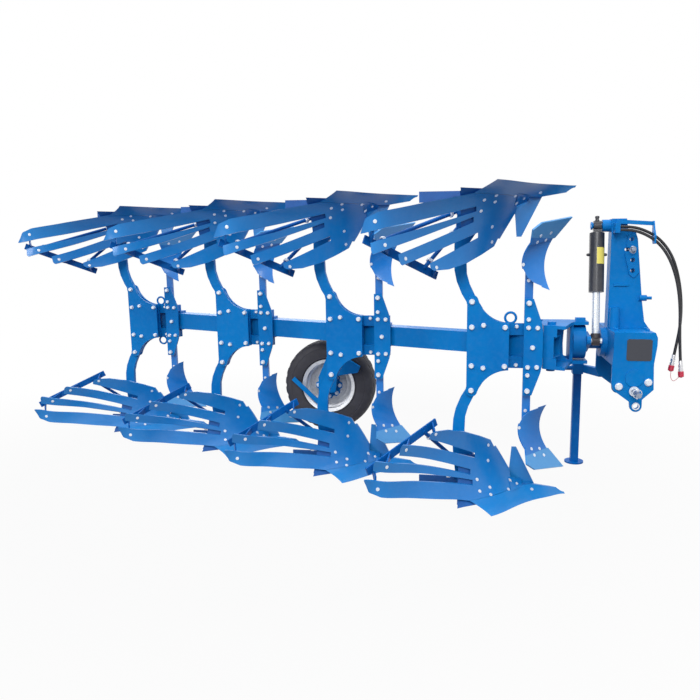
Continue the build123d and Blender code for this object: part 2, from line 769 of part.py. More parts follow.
def make_stand():
    """Parking stand: square tube with a round foot."""
    half = STAND_SIZE / 2
    tube = block(STAND_X - half, STAND_X + half, STAND_Y - half, STAND_Y + half, GROUND_Z + 8, STAND_TOP_Z)
    foot = bar_z(STAND_X, STAND_Y, STAND_FOOT_R, GROUND_Z, GROUND_Z + 10)
    return tube + foot


def make_stand_holder():
    """Square sleeve for the stand on an arm from the far cheek of the headstock."""
    half = STAND_SIZE / 2 + STAND_FIT
    z0, z1 = STAND_HOLD_Z - 35, STAND_HOLD_Z + 35
    sleeve = block(STAND_X - half - 8, STAND_X + half + 8, STAND_Y - half - 8, STAND_Y + half + 8, z0, z1)
    sleeve -= block(STAND_X - half, STAND_X + half, STAND_Y - half, STAND_Y + half, z0 - 1, z1 + 1)
    seat = FAR_Y + SEAT_GAP
    outline = [(STAND_X + 28, STAND_Y + 20), (STAND_X + 28, STAND_Y - 20), (790, seat), (850, seat)]
    arm = plate_xy(outline, STAND_HOLD_Z - 25, 50)
    pin = bar_x(STAND_Y, STAND_HOLD_Z, STAND_PIN_R, STAND_PIN_X, STAND_X - half - 6)
    return sleeve + arm + pin


def make_wheel_arm():
    """Swinging arm of the depth wheel, with its axle stub and stop lug."""
    outline = [
        (ARM_X - 40, 30),
        (ARM_X + 40, 30),
        (ARM_X + 34, -60),
        (ARM_X + 36, -190),
        (ARM_X + 156, -262),
        (ARM_X + 140, -305),
        (WHEEL_X + 75, -330),
        (WHEEL_X + 60, WHEEL_Z - 40),
        (WHEEL_X - 62, WHEEL_Z - 40),
        (WHEEL_X - 60, WHEEL_Z + 70),
        (ARM_X - 42, -110),
    ]
    arm = plate_xz(outline, ARM_Y0, ARM_T, 12)
    arm += bar_y(ARM_X, 0, 48, ARM_Y0, ARM_Y0 + ARM_T + 12)
    end = WHEEL_Y0 + HUB_LONG
    arm += bar_y(WHEEL_X, WHEEL_Z, AXLE_R, ARM_Y0 + ARM_T - 1, end + 4)
    arm += bar_y(WHEEL_X, WHEEL_Z, AXLE_R + 8, ARM_Y0 + ARM_T - 1, WHEEL_Y0 - SEAT_GAP)
    arm += bar_y(WHEEL_X, WHEEL_Z, AXLE_R + 8, end + SEAT_GAP, end + 8)
    mid = ARM_Y0 + ARM_T / 2
    low = (WHEEL_X - 68, mid, WHEEL_Z - 114)
    bar = flat_between(low, (WHEEL_X - 248, mid, WHEEL_Z + 55), 30, 12, (0.69, 0, 0.72))
    heel = (WHEEL_X - 70, mid, WHEEL_Z - 124)
    brace = flat_between((WHEEL_X, mid, WHEEL_Z), heel, 40, 14, (0.9, 0, -0.4))
    return arm + bar + brace - bar_y(ARM_X, 0, ARM_PIN_R + RUNNING, ARM_Y0 - 50, ARM_Y0 + 90)


def make_wheel_pivot():
    """Bracket on the far side of the beam with the pivot of the wheel arm."""
    half = BEAM_SIZE / 2 / math.cos(math.radians(BEAM_ANGLE)) + SEAT_GAP
    x0 = ARM_X - 45
    x1 = ARM_X + 70
    seat = ARM_Y0 - 6
    outline = [(x0, seat), (x0, beam_y(x0) + half), (x1, beam_y(x1) + half), (x1, seat)]
    boss = ARM_Y0 + ARM_T + 12.5
    pivot = plate_xy(outline, -58, 116)
    pivot += bar_y(ARM_X, 0, ARM_PIN_R, ARM_Y0 - 10, boss + 4)
    return pivot + bar_y(ARM_X, 0, 34, boss, boss + 9)


def turned(profile):
    """Ring turned about the wheel's axle from (radius, y) points."""
    face = make_face(Polyline(*[(r, 0, y) for r, y in profile], close=True))
    ring = revolve(face, axis=Axis.Z)
    return Pos(WHEEL_X, WHEEL_Y0, WHEEL_Z) * Rot(-90, 0, 0) * ring


def make_tyre():
    """Tyre with rounded shoulders and open beads."""
    w = TYRE_W
    r = TYRE_R
    bead = RIM_SEAT_R + SEAT_GAP
    side = [
        (bead, 45),
        (bead, 22),
        (RIM_R + 3, 14.5),
        (RIM_R + 10, 4),
        (r - 60, 0),
        (r - 22, 8),
        (r - 5, 28),
    ]
    lining = [(r - 40, 24), (bead + 22, 40)]
    outside = side + [(r, w / 2)] + [(a, w - b) for a, b in reversed(side)]
    inside = [(a, w - b) for a, b in reversed(lining)] + [(r - 24, w / 2)] + lining
    return turned(outside + inside)


def make_rim():
    """Pressed rim with its flanges, its well and its dished disc."""
    w = TYRE_W
    s = RIM_SEAT_R
    face = HUB_SEAT
    outside = [(RIM_R, 8), (RIM_R, 14), (s, 21.7), (s, 50), (s - 14, 60)]
    outside += [(a, w - b) for a, b in reversed(outside)]
    far = [(s - 6, w - 15), (s - 6, w - 54), (s - 20, w - 62), (s - 20, 112)]
    disc = [(118, 94), (86, face + 8), (HUB_R, face + 8), (HUB_R, face), (90, face), (122, 86)]
    near = [(s - 20, 102), (s - 20, 62), (s - 6, 54), (s - 6, 15)]
    return turned(outside + far + disc + near)


def make_hub():
    """Wheel hub with its bolting flange."""
    bore = AXLE_R + RUNNING
    seat = HUB_SEAT - SEAT_GAP
    spigot = HUB_R - SEAT_GAP
    flange = [(36, 0), (40, seat - 12), (HUB_FLANGE_R, seat - 12), (HUB_FLANGE_R, seat)]
    hub = turned([(bore, 0)] + flange + [(spigot, seat), (spigot, HUB_LONG), (bore, HUB_LONG)])
    for n in range(HUB_LOBES):
        angle = 2 * math.pi * (n + 0.5) / HUB_LOBES
        x = WHEEL_X + HUB_NOTCH_AT * math.cos(angle)
        z = WHEEL_Z + HUB_NOTCH_AT * math.sin(angle)
        hub -= bar_y(x, z, HUB_NOTCH_R, WHEEL_Y0 + seat - 20, WHEEL_Y0 + seat + 1)
    return hub


# Route of the first hose seen from the side, as (x, z) points
HOSE_ROUTE = (
    (802.0, 656.0),
    (868.0, 656.0),
    (937.0, 636.0),
    (1002.0, 601.0),
    (1052.0, 553.0),
    (1096.0, 485.0),
    (1126.0, 400.0),
    (1148.0, 300.0),
    (1158.0, 195.0),
    (1156.0, 90.0),
    (1143.0, 0.0),
    (1131.0, -80.0),
)
SECOND_ROUTE = (
    (802.0, 638.0),
    (862.0, 638.0),
    (928.0, 618.0),
    (990.0, 582.0),
    (1040.0, 532.0),
    (1080.0, 466.0),
    (1112.0, 384.0),
    (1134.0, 290.0),
    (1146.0, 190.0),
    (1150.0, 88.0),
    (1157.0, -14.0),
    (1166.0, -110.0),
)


def corner_radii(points):
    """Largest even arc at each bend of a route."""
    radii = []
    for a, b, c in zip(points, points[1:], points[2:]):
        before = b - a
        after = c - b
        turn = math.radians(before.get_angle(after))
        radii.append(0.45 * min(before.length, after.length) / math.tan(turn / 2))
    return radii


def make_hose(route, y, name):
    """Hose of straight runs joined by tangent arcs."""
    points = [Vector(x, y, z) for x, z in route]
    radii = corner_radii(points)
    path = FilletPolyline(*points, radius=radii)
    start = Plane(origin=points[0], z_dir=points[1] - points[0])
    hose = sweep(start * Circle(HOSE_R), path=path)
    area = math.pi * HOSE_R ** 2
    print(name, "length", round(path.length), "radii", [round(r) for r in radii])
    print(name, "volume over section times length", round(hose.volume / (area * path.length), 4))
    return hose


def hose_end(route, y):
    """End point and direction of a hose."""
    a = Vector(route[-2][0], y, route[-2][1])
    b = Vector(route[-1][0], y, route[-1][1])
    return b, (b - a).normalized()


def make_coupler(route, y):
    """Screwed coupler with its dust cap on the end of a hose."""
    end, way = hose_end(route, y)
    body = extrude(Plane(origin=end, z_dir=way) * Circle(13), amount=52)
    cap = extrude(Plane(origin=end + way * 50, z_dir=way) * Circle(16), amount=26)
    return body + cap


def make_hose_holder(hoses):
    """Gland block on the tower and the arm that holds the hoses clear of it."""
    tower_y = AXIS_Y - TOPLINK_GAP / 2 - CHEEK_T - SEAT_GAP
    gland = block(776, HOSE_ROUTE[0][0], HOSE_Y - HOSE_PITCH - 14, tower_y, 622, 676)
    foot = block(790, 846, tower_y - 12, tower_y, 674, 696)
    arm = flat_between((812, tower_y - 8, 685), (988, HOSE_Y + 18, 672), 22, 8, (0, 0, 1))
    plate = [(222, 686), (222, 592), (196, 560), (152, 560), (152, 604), (182, 640), (206, 686)]
    eye = plate_yz(plate, HOLDER_X - 4, 8, 4)
    for hose in hoses:
        before = crossing(hose, HOLDER_X - 5)
        after = crossing(hose, HOLDER_X + 5)
        reach = (after - before) * 3
        eye -= rod_between(before - reach, after + reach, HOSE_R + 0.5)
    return gland + foot + arm + eye


def crossing(hose, x):
    """Middle of a hose where it crosses a plane across the way of travel."""
    return (hose & block(x - 0.5, x + 0.5, 0, 2 * HOSE_Y, 400, TOWER_TOP)).center()


def make_ring():
    """Lifting ring on the edge of a console."""
    return Pos(214, FLANGE_Y + FLANGE_T / 2, CONSOLE_TOP + 30) * Rot(90, 0, 0) * Torus(30, 7)


def make_hitch_pins():
    """Stepped pins of the lower links, one through each cheek."""
    free_y = AXIS_Y - HITCH_SPAN / 2 - 48
    inner = NEAR_Y + CHEEK_T + SEAT_GAP
    pin = bar_y(HITCH_X, HITCH_Z, HITCH_PIN_R, free_y, inner + 12)
    pin += bar_y(HITCH_X, HITCH_Z, COLLAR_R, NEAR_Y - 12, NEAR_Y - SEAT_GAP)
    pin += bar_y(HITCH_X, HITCH_Z, COLLAR_R, inner, inner + 12)
    return [pin, mirror(pin, about=Plane.XZ.offset(-AXIS_Y))]


def at_station(shapes, k):
    """Shapes moved to the k-th pair of bodies, counted from the front."""
    return [Pos(-BODY_PITCH * k, FURROW * k, 0) * shape for shape in shapes]


def row_of(shape):
    """The shape once for each body along the beam."""
    return [at_station([shape], k)[0] for k in range(BODIES)]


def make_nodes():
    """Every piece of the plough by its node's name, as a list of shapes."""
    board = make_mouldboard()
    console = make_console()
    ringed = console + make_ring()
    low = {"shares": make_share(), "frogs": make_frog(), "stays": make_stay()}
    nodes = {}
    for name, shape in low.items():
        nodes[name + "_lower"] = row_of(shape)
        nodes[name + "_upper"] = row_of(flipped(shape))
    leg = make_leg()
    leg_plates = make_leg_plates()
    bracket = make_skim_bracket()
    skimmer = make_skimmer()
    for k in range(BODIES):
        number = str(k + 1)
        top = ringed if k in (0, BODIES - 1) else console
        bottom = ringed if k == BODIES - 1 else console
        sets = {
            "mouldboard_lower_": [board],
            "mouldboard_upper_": [flipped(board)],
            "legs_": [leg, flipped(leg)],
            "leg_plates_": [leg_plates],
            "console_": [top, flipped(bottom)],
            "skimmer_bracket_": [bracket],
            "skimmer_lower_": [skimmer],
            "skimmer_upper_": [flipped(skimmer)],
        }
        for name, shapes in sets.items():
            nodes[name + number] = at_station(shapes, k)
    nodes["beam"] = [make_beam()]
    nodes["front_fork"] = [make_front_frame()]
    nodes["turnover_drum"] = [make_drum()]
    nodes["headstock"] = [make_headstock()]
    nodes["hitch_tower"] = [make_tower()]
    nodes["hitch_pins"] = make_hitch_pins()
    nodes["cylinder_barrel"] = [make_barrel()]
    nodes["cylinder_rod"] = [make_rod()]
    nodes["stand_holder"] = [make_stand_holder()]
    nodes["parking_stand"] = [make_stand()]
    nodes["wheel_pivot"] = [make_wheel_pivot()]
    nodes["wheel_arm"] = [make_wheel_arm()]
    nodes["wheel_hub"] = [make_hub()]
    nodes["wheel_rim"] = [make_rim()]
    nodes["tyre"] = [make_tyre()]
    first = make_hose(HOSE_ROUTE, HOSE_Y, "first hose")
    second = make_hose(SECOND_ROUTE, HOSE_Y - HOSE_PITCH, "second hose")
    nodes["hose_holder"] = [make_hose_holder((first, second))]
    nodes["hose_1"] = [first]
    nodes["hose_2"] = [second]
    nodes["hose_couplers"] = [
        make_coupler(HOSE_ROUTE, HOSE_Y),
        make_coupler(SECOND_ROUTE, HOSE_Y - HOSE_PITCH),
    ]
    return nodes


ON_CORDS = ("hose_1", "hose_2", "hose_couplers")

nodes = make_nodes()
rigid = [shape for name, shapes in nodes.items() if name not in ON_CORDS for shape in shapes]
box = Compound(children=[solid for shape in rigid for solid in shape.solids()]).bounding_box()
shift = Pos(-(box.min.X + box.max.X) / 2, -(box.min.Y + box.max.Y) / 2, -box.min.Z)
print("shift", round(shift.position.X, 3), round(shift.position.Y, 3), round(shift.position.Z, 3))
print("size", [round(v, 1) for v in (box.size.X, box.size.Y, box.size.Z)])
os.makedirs("parts", exist_ok=True)
for name, shapes in nodes.items():
    solids = [solid for shape in shapes for solid in (shift * shape).solids()]
    export_step(Compound(children=solids), "parts/" + name + ".step")
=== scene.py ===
"""Looks of a mounted reversible plough with four pairs of bodies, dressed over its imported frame.

Places are written as the plough's maker would, in millimetres from the first pair of leg plates,
with x forward, y left and z up from the middle of the beam. The function row turns them into metres.
"""
import json
import logging
import math
from dataclasses import dataclass
from enum import Enum
from typing import Optional, Sequence, Union

import bmesh
import bpy
from mathutils import Matrix, Vector
from mathutils.bvhtree import BVHTree


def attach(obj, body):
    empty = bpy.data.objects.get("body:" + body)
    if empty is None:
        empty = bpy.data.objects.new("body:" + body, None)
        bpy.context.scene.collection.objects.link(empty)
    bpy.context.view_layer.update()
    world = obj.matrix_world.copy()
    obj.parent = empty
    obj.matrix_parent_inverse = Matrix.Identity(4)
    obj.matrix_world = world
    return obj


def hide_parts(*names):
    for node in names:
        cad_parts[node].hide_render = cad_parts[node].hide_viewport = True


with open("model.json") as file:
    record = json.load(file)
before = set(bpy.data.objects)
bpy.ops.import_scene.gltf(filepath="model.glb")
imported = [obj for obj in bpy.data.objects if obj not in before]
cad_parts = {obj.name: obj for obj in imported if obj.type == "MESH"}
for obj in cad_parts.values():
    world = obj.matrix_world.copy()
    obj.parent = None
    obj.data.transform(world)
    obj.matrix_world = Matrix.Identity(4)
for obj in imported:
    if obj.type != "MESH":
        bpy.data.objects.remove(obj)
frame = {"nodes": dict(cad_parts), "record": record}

LOG = logging.getLogger("plough")
ORIGIN = Vector((1110.016, -496.759, 874.0))
METRES = 0.001
STATIONS = 4
PITCH_X = 900.0
PITCH_Y = 400.0
SIDES = (("lower", 1), ("upper", -1))
LEFT = Vector((0, 1, 0))
RIGHT = Vector((0, -1, 0))

Colour = tuple[float, float, float]
Place = tuple[float, float, float]


def row(x: float, y: float, z: float) -> Vector:
    """Turn a place on the plough's drawing into the row frame.

    Args:
        x: Millimetres forward of the first leg plates' rear bolts.
        y: Millimetres left of the first leg plates.
        z: Millimetres above the middle of the beam.

    Returns:
        The same place in metres.
    """
    return (Vector((x, y, z)) + ORIGIN) * METRES


def at_station(k: int, x: float, y: float, z: float) -> Vector:
    """Place on a station, counted from 0 at the front, in the row frame."""
    return row(x - PITCH_X * k, y + PITCH_Y * k, z)


def paint_code(red: int, green: int, blue: int) -> Colour:
    """Linear colour of a paint chip given by its 0 to 255 codes."""
    shares = (code / 255.0 for code in (red, green, blue))
    return tuple(s / 12.92 if s <= 0.04045 else ((s + 0.055) / 1.055) ** 2.4 for s in shares)


class Wire:
    """One socket of a shader on which Python arithmetic adds Math nodes."""

    def __init__(self, graph: "Graph", socket: bpy.types.NodeSocket) -> None:
        """Keep the graph and the socket that the sums start from."""
        self.graph = graph
        self.socket = socket

    def _sum(self, operation: str, first: "Term", second: "Term", clamp: bool = False) -> "Wire":
        """Add one Math node.

        Args:
            operation: What the node does.
            first: Its first value.
            second: Its second value.
            clamp: Whether the result is held between 0 and 1.

        Returns:
            The node's output.
        """
        settings = {"operation": operation, "use_clamp": clamp}
        node = self.graph.node("ShaderNodeMath", settings, {0: first, 1: second})
        return Wire(self.graph, node.outputs[0])

    def __add__(self, other: "Term") -> "Wire":
        """Add."""
        return self._sum("ADD", self, other)

    def __radd__(self, other: "Term") -> "Wire":
        """Add to a number."""
        return self._sum("ADD", other, self)

    def __sub__(self, other: "Term") -> "Wire":
        """Subtract."""
        return self._sum("SUBTRACT", self, other)

    def __rsub__(self, other: "Term") -> "Wire":
        """Subtract from a number."""
        return self._sum("SUBTRACT", other, self)

    def __mul__(self, other: "Term") -> "Wire":
        """Multiply."""
        return self._sum("MULTIPLY", self, other)

    def __rmul__(self, other: "Term") -> "Wire":
        """Multiply a number."""
        return self._sum("MULTIPLY", other, self)

    def clamped(self) -> "Wire":
        """The same value held between 0 and 1."""
        return self._sum("ADD", self, 0.0, True)

    def size(self) -> "Wire":
        """The same value without its sign."""
        return self._sum("ABSOLUTE", self, 0.0)

    def above(self, edge: float, width: float) -> "Wire":
        """A mask that rises from 0 to 1 over a width above an edge."""
        return ((self - edge) * (1.0 / width)).clamped()


Term = Union[Wire, float]
Feed = Union[Wire, float, str, bpy.types.NodeSocket, Sequence[float]]


class Tree:
    """Node tree to which nodes are added."""

    def __init__(self, tree: bpy.types.NodeTree) -> None:
        """Keep the tree."""
        self.tree = tree

    def node(
        self, kind: str, settings: Optional[dict] = None, inputs: Optional[dict] = None
    ) -> bpy.types.Node:
        """Add one node.

        Args:
            kind: The node's type.
            settings: Properties, set before the sockets.
            inputs: Values, sockets or wires by the input's name or number.

        Returns:
            The node.
        """
        node = self.tree.nodes.new(kind)
        for key, value in (settings or {}).items():
            setattr(node, key, value)
        for key, value in (inputs or {}).items():
            self.feed(node.inputs[key], value)
        return node

    def feed(self, socket: bpy.types.NodeSocket, value: Feed) -> None:
        """Link a wire or socket to an input, or set its value.

        Args:
            socket: The input.
            value: What it is given. A colour may come without its alpha.
        """
        if isinstance(value, Wire):
            self.tree.links.new(value.socket, socket)
        elif isinstance(value, bpy.types.NodeSocket):
            self.tree.links.new(value, socket)
        elif socket.type == "RGBA" and len(value) == 3:
            socket.default_value = (*value, 1.0)
        else:
            socket.default_value = value


class Graph(Tree):
    """Shader tree of a finish or of the world."""

    def __init__(self, owner: Union[bpy.types.Material, bpy.types.World]) -> None:
        """Empty the tree of a material or a world.

        Args:
            owner: The material or the world.
        """
        owner.use_nodes = True
        super().__init__(owner.node_tree)
        self.owner = owner
        self.tree.nodes.clear()
        self.where = self.node("ShaderNodeTexCoord").outputs
        self.place = self.where["Object"]

    def noise(self, per_metre: float, detail: float = 2.0, stretch: Place = (1.0, 1.0, 1.0)) -> Wire:
        """Soft noise on the object's own coordinates.

        Args:
            per_metre: Number of its grains in a metre.
            detail: How many finer layers it has.
            stretch: How much denser it is along each axis.

        Returns:
            A value from 0 to 1.
        """
        turned = self.node("ShaderNodeMapping", {}, {"Vector": self.place, "Scale": stretch})
        inputs = {"Vector": turned.outputs[0], "Scale": per_metre, "Detail": detail}
        return Wire(self, self.node("ShaderNodeTexNoise", {}, inputs).outputs["Fac"])

    def height(self) -> Wire:
        """Height above the ground in metres."""
        return Wire(self, self.node("ShaderNodeSeparateXYZ", {}, {0: self.place}).outputs["Z"])

    def mix(self, share: Wire, first: Union[Colour, Wire], second: Union[Colour, Wire]) -> Wire:
        """Blend two colours by a mask."""
        inputs = {"Factor": share, 6: first, 7: second}
        return Wire(self, self.node("ShaderNodeMix", {"data_type": "RGBA"}, inputs).outputs[2])

    def bump(self, height: Wire, strength: float, distance: float) -> bpy.types.NodeSocket:
        """Normal of a surface raised by a value."""
        inputs = {"Height": height, "Strength": strength, "Distance": distance}
        return self.node("ShaderNodeBump", {}, inputs).outputs["Normal"]

    def surface(self, inputs: dict) -> bpy.types.Material:
        """Close the tree with a surface shader.

        Args:
            inputs: Values, sockets or wires of the shader by name.

        Returns:
            The finished material.
        """
        shader = self.node("ShaderNodeBsdfPrincipled", {}, inputs)
        self.node("ShaderNodeOutputMaterial", {}, {"Surface": shader.outputs[0]})
        return self.owner


@dataclass(frozen=True)
class Paint:
    """Sprayed machine paint with a soft run of shade, a little dust and small chips."""

    name: str
    colour: Colour
    shade: Colour
    chip: Colour = paint_code(70, 92, 120)
    powder: Colour = paint_code(150, 170, 190)
    roughness: float = 0.36
    peel: float = 0.10
    coat: float = 0.02
    dust: float = 0.04
    sheen: float = 0.12
    tip: Optional[tuple[float, Colour]] = None

    def material(self) -> bpy.types.Material:
        """Build the paint, with a painted highlight that makes its tip lighter beyond a distance from the
        beam's plane.

        Returns:
            The material.
        """
        graph = Graph(bpy.data.materials.new(self.name))
        drift = graph.noise(per_metre=2.6, detail=3.0).above(edge=0.38, width=0.26)
        mottle = graph.noise(per_metre=34.0, detail=4.0)
        spots = graph.noise(per_metre=120.0, detail=5.0).above(edge=0.735, width=0.02)
        chips = spots * graph.noise(per_metre=9.0, detail=1.0).above(edge=0.5, width=0.1)
        film = graph.mix(drift, self.colour, self.shade)
        soiled = graph.mix(mottle.above(edge=0.45, width=0.4) * self.dust, film, self.powder)
        worn = graph.mix(chips, soiled, self.chip)
        # Painted highlight: beyond a distance from the beam's plane the tip is mixed towards a lighter blue.
        if self.tip:
            edge, bright = self.tip
            away = graph.height() - ORIGIN.z * METRES
            tip_highlight_mask = away.size().above(edge, width=0.002) * (1.0 - mottle * 0.3)
            worn = graph.mix(tip_highlight_mask, worn, bright)
        grain = graph.noise(per_metre=420.0, detail=2.0)
        relief = grain * 0.4 + mottle * 0.6 - chips * 0.8
        sockets = {
            "Base Color": worn,
            "Roughness": self.roughness + mottle * 0.12 + chips * 0.3,
            "Normal": graph.bump(relief, self.peel, distance=0.0008),
            "Coat Weight": self.coat * (1.0 - chips),
            "Coat Roughness": 0.15,
            "Specular IOR Level": self.sheen,
        }
        return graph.surface(sockets)


@dataclass(frozen=True)
class Casting:
    """Painted casting with the grain of its sand mould."""

    name: str
    colour: Colour
    shade: Colour
    roughness: float = 0.5

    def material(self) -> bpy.types.Material:
        """Build the painted casting.

        Returns:
            The material.
        """
        graph = Graph(bpy.data.materials.new(self.name))
        sand = graph.noise(per_metre=170.0, detail=6.0)
        broad = graph.noise(per_metre=9.0, detail=2.0)
        film = graph.mix(broad.above(edge=0.35, width=0.3), self.colour, self.shade)
        pits = sand.above(edge=0.58, width=0.3) * 0.35
        sockets = {
            "Base Color": graph.mix(pits, film, self.shade),
            "Roughness": self.roughness + sand * 0.2,
            "Normal": graph.bump(sand + broad * 0.5, strength=0.45, distance=0.0016),
        }
        return graph.surface(sockets)


@dataclass(frozen=True)
class Metal:
    """Bare or plated metal with drawn marks and a patchy sheen."""

    name: str
    colour: Colour
    tarnish: Colour
    roughness: float = 0.3
    patches: float = 0.35
    marks: Place = (1.0, 1.0, 1.0)
    metallic: float = 1.0

    def material(self) -> bpy.types.Material:
        """Build the metal.

        Returns:
            The material.
        """
        graph = Graph(bpy.data.materials.new(self.name))
        patch = graph.noise(per_metre=60.0, detail=4.0).above(edge=0.46, width=0.3)
        lines = graph.noise(per_metre=300.0, detail=3.0, stretch=self.marks)
        sockets = {
            "Base Color": graph.mix(patch * self.patches, self.colour, self.tarnish),
            "Metallic": self.metallic,
            "Roughness": self.roughness + patch * 0.15 + lines * 0.08,
            "Normal": graph.bump(lines, strength=0.12, distance=0.0004),
        }
        return graph.surface(sockets)


@dataclass(frozen=True)
class Rubber:
    """Black rubber with fine mould grain and a bloom of dust."""

    name: str
    colour: Colour
    bloom: Colour
    roughness: float = 0.62
    grain: float = 500.0

    def material(self) -> bpy.types.Material:
        """Build the rubber.

        Returns:
            The material.
        """
        graph = Graph(bpy.data.materials.new(self.name))
        cloud = graph.noise(per_metre=11.0, detail=4.0)
        fine = graph.noise(self.grain, detail=3.0)
        bloomed = cloud.above(edge=0.42, width=0.35) * 0.5
        sockets = {
            "Base Color": graph.mix(bloomed, self.colour, self.bloom),
            "Roughness": self.roughness + fine * 0.2 - cloud * 0.1,
            "Normal": graph.bump(fine, strength=0.25, distance=0.0006),
        }
        return graph.surface(sockets)


@dataclass(frozen=True)
class Plastic:
    """Moulded plastic or a printed foil, plain in colour, with scuffs."""

    name: str
    colour: Colour
    scuff: Colour
    roughness: float = 0.4

    def material(self) -> bpy.types.Material:
        """Build the plastic.

        Returns:
            The material.
        """
        graph = Graph(bpy.data.materials.new(self.name))
        rubs = graph.noise(per_metre=90.0, detail=5.0, stretch=(1.0, 1.0, 4.0))
        scuffs = rubs.above(edge=0.56, width=0.25)
        grain = graph.noise(per_metre=260.0, detail=2.0)
        sockets = {
            "Base Color": graph.mix(scuffs * 0.35, self.colour, self.scuff),
            "Roughness": self.roughness + scuffs * 0.2,
            "Normal": graph.bump(grain, strength=0.1, distance=0.0003),
        }
        return graph.surface(sockets)


BOARD_GLOSS = {"roughness": 0.26, "coat": 0.15, "sheen": 0.5}
# Painted highlight on the skimmer tips: the distance from the beam's plane and the lighter blue.
TIP_HIGHLIGHT = (0.592, paint_code(76, 150, 206))
FINISHES = {
    finish.name: finish
    for finish in (
        Paint("blue_paint", paint_code(0, 117, 190), paint_code(0, 106, 178)),
        Paint("leg_paint", paint_code(0, 118, 191), paint_code(0, 107, 180)),
        Paint("body_paint", paint_code(0, 118, 190), paint_code(0, 108, 180), **BOARD_GLOSS),
        Paint("share_paint", paint_code(14, 124, 194), paint_code(6, 114, 184), **BOARD_GLOSS),
        Paint("stay_paint", paint_code(4, 92, 168), paint_code(0, 78, 148)),
        Paint(
            "skimmer_paint", paint_code(6, 118, 198), paint_code(0, 108, 188),
            roughness=0.32, coat=0.2, sheen=0.5, tip=TIP_HIGHLIGHT,
        ),
        Paint(
            "barrel_paint", paint_code(42, 43, 50), paint_code(30, 31, 38),
            chip=paint_code(90, 92, 98), roughness=0.3, sheen=0.6,
        ),
        Paint("stand_zinc", paint_code(0, 96, 172), paint_code(0, 82, 156)),
        Casting("frog_paint", paint_code(0, 84, 156), paint_code(0, 70, 138)),
        Casting("casting_dark", paint_code(58, 50, 52), paint_code(38, 34, 38), roughness=0.45),
        Metal(
            "pin_steel", (0.30, 0.34, 0.42), (0.14, 0.17, 0.24), roughness=0.34, patches=0.6, metallic=0.8
        ),
        Metal("bolt_zinc", (0.74, 0.78, 0.84), (0.46, 0.52, 0.62), roughness=0.28, metallic=0.45),
        Metal(
            "rod_chrome", (0.66, 0.69, 0.73), (0.72, 0.75, 0.8),
            roughness=0.2, patches=0.3, marks=(8.0, 8.0, 1.0), metallic=0.5,
        ),
        Metal(
            "rim_paint", (0.74, 0.75, 0.77), (0.42, 0.43, 0.46),
            roughness=0.34, patches=0.5, marks=(1.0, 6.0, 1.0), metallic=0.7,
        ),
        Metal("coupler_steel", (0.72, 0.72, 0.74), (0.5, 0.5, 0.54), roughness=0.25),
        Rubber("tyre_rubber", paint_code(44, 43, 50), paint_code(66, 65, 72)),
        Rubber("hose_rubber", paint_code(26, 26, 30), paint_code(52, 52, 58), roughness=0.45, grain=900.0),
        Plastic("cap_red", paint_code(196, 30, 64), paint_code(160, 40, 66)),
        Plastic("panel_dark", paint_code(52, 54, 62), paint_code(66, 68, 78), roughness=0.5),
        Plastic("label_yellow", paint_code(222, 208, 96), paint_code(190, 178, 92)),
    )
}


class Stock:
    """Finishes made so far, one material each."""

    def __init__(self) -> None:
        """Start with none."""
        self.made: dict[str, bpy.types.Material] = {}

    def get(self, name: str) -> bpy.types.Material:
        """The material of a finish, made on its first use.

        Args:
            name: The finish's name.

        Returns:
            The material.
        """
        if name not in self.made:
            self.made[name] = FINISHES[name].material()
        return self.made[name]


def finished(mesh: bpy.types.Mesh, name: str, body: str, finish: str, stock: Stock) -> bpy.types.Object:
    """Turn a mesh that lies in place into a piece that rides on a body.

    Args:
        mesh: The piece's mesh, in the row frame.
        name: The piece's name.
        body: The body that it moves with.
        finish: Its finish.
        stock: The finishes.

    Returns:
        The piece.
    """
    mesh.materials.clear()
    mesh.materials.append(stock.get(finish))
    piece = bpy.data.objects.new(name, mesh)
    bpy.context.scene.collection.objects.link(piece)
    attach(piece, body)
    finish in {material.get("slot") for material in frame["record"]["materials"]}
    LOG.info("made %s on %s, %d faces", name, body, len(mesh.polygons))
    return piece


def swept_round(
    start: Vector, axis: Vector, profile: Sequence[tuple[float, float]], around: int
) -> bmesh.types.BMesh:
    """Turned form about an axis.

    Args:
        start: Where the axis starts.
        axis: Its direction.
        profile: Points as (radius, distance along the axis), closed on itself unless it ends on the axis.
        around: Faces round the form.

    Returns:
        The mesh under construction.
    """
    turn = axis.normalized().to_track_quat("Z", "Y").to_matrix()
    form = bmesh.new()
    rings = []
    on_axis = 1e-6
    for radius, along in profile:
        if radius < on_axis:
            rings.append([form.verts.new(start + turn @ Vector((0.0, 0.0, along)))])
            continue
        ring = []
        for n in range(around):
            angle = 2.0 * math.pi * n / around
            offset = Vector((radius * math.cos(angle), radius * math.sin(angle), along))
            ring.append(form.verts.new(start + turn @ offset))
        rings.append(ring)
    closed = len(rings[0]) > 1 and len(rings[-1]) > 1
    pairs = list(zip(rings, rings[1:])) + ([(rings[-1], rings[0])] if closed else [])
    for low, high in pairs:
        for n in range(around):
            m = (n + 1) % around
            corners = [low[n % len(low)], low[m % len(low)], high[m % len(high)], high[n % len(high)]]
            form.faces.new(list(dict.fromkeys(corners)))
    bmesh.ops.recalc_face_normals(form, faces=form.faces)
    return form


def bridge(form: bmesh.types.BMesh, rings: Sequence[Sequence[bmesh.types.BMVert]]) -> None:
    """Join rings of as many points into a closed shell, the last one with the first.

    Args:
        form: The mesh under construction.
        rings: Its points, ring by ring.
    """
    for low, high in zip(rings, [*rings[1:], rings[0]]):
        for n in range(len(low)):
            m = (n + 1) % len(low)
            form.faces.new((low[n], low[m], high[m], high[n]))
    bmesh.ops.recalc_face_normals(form, faces=form.faces)


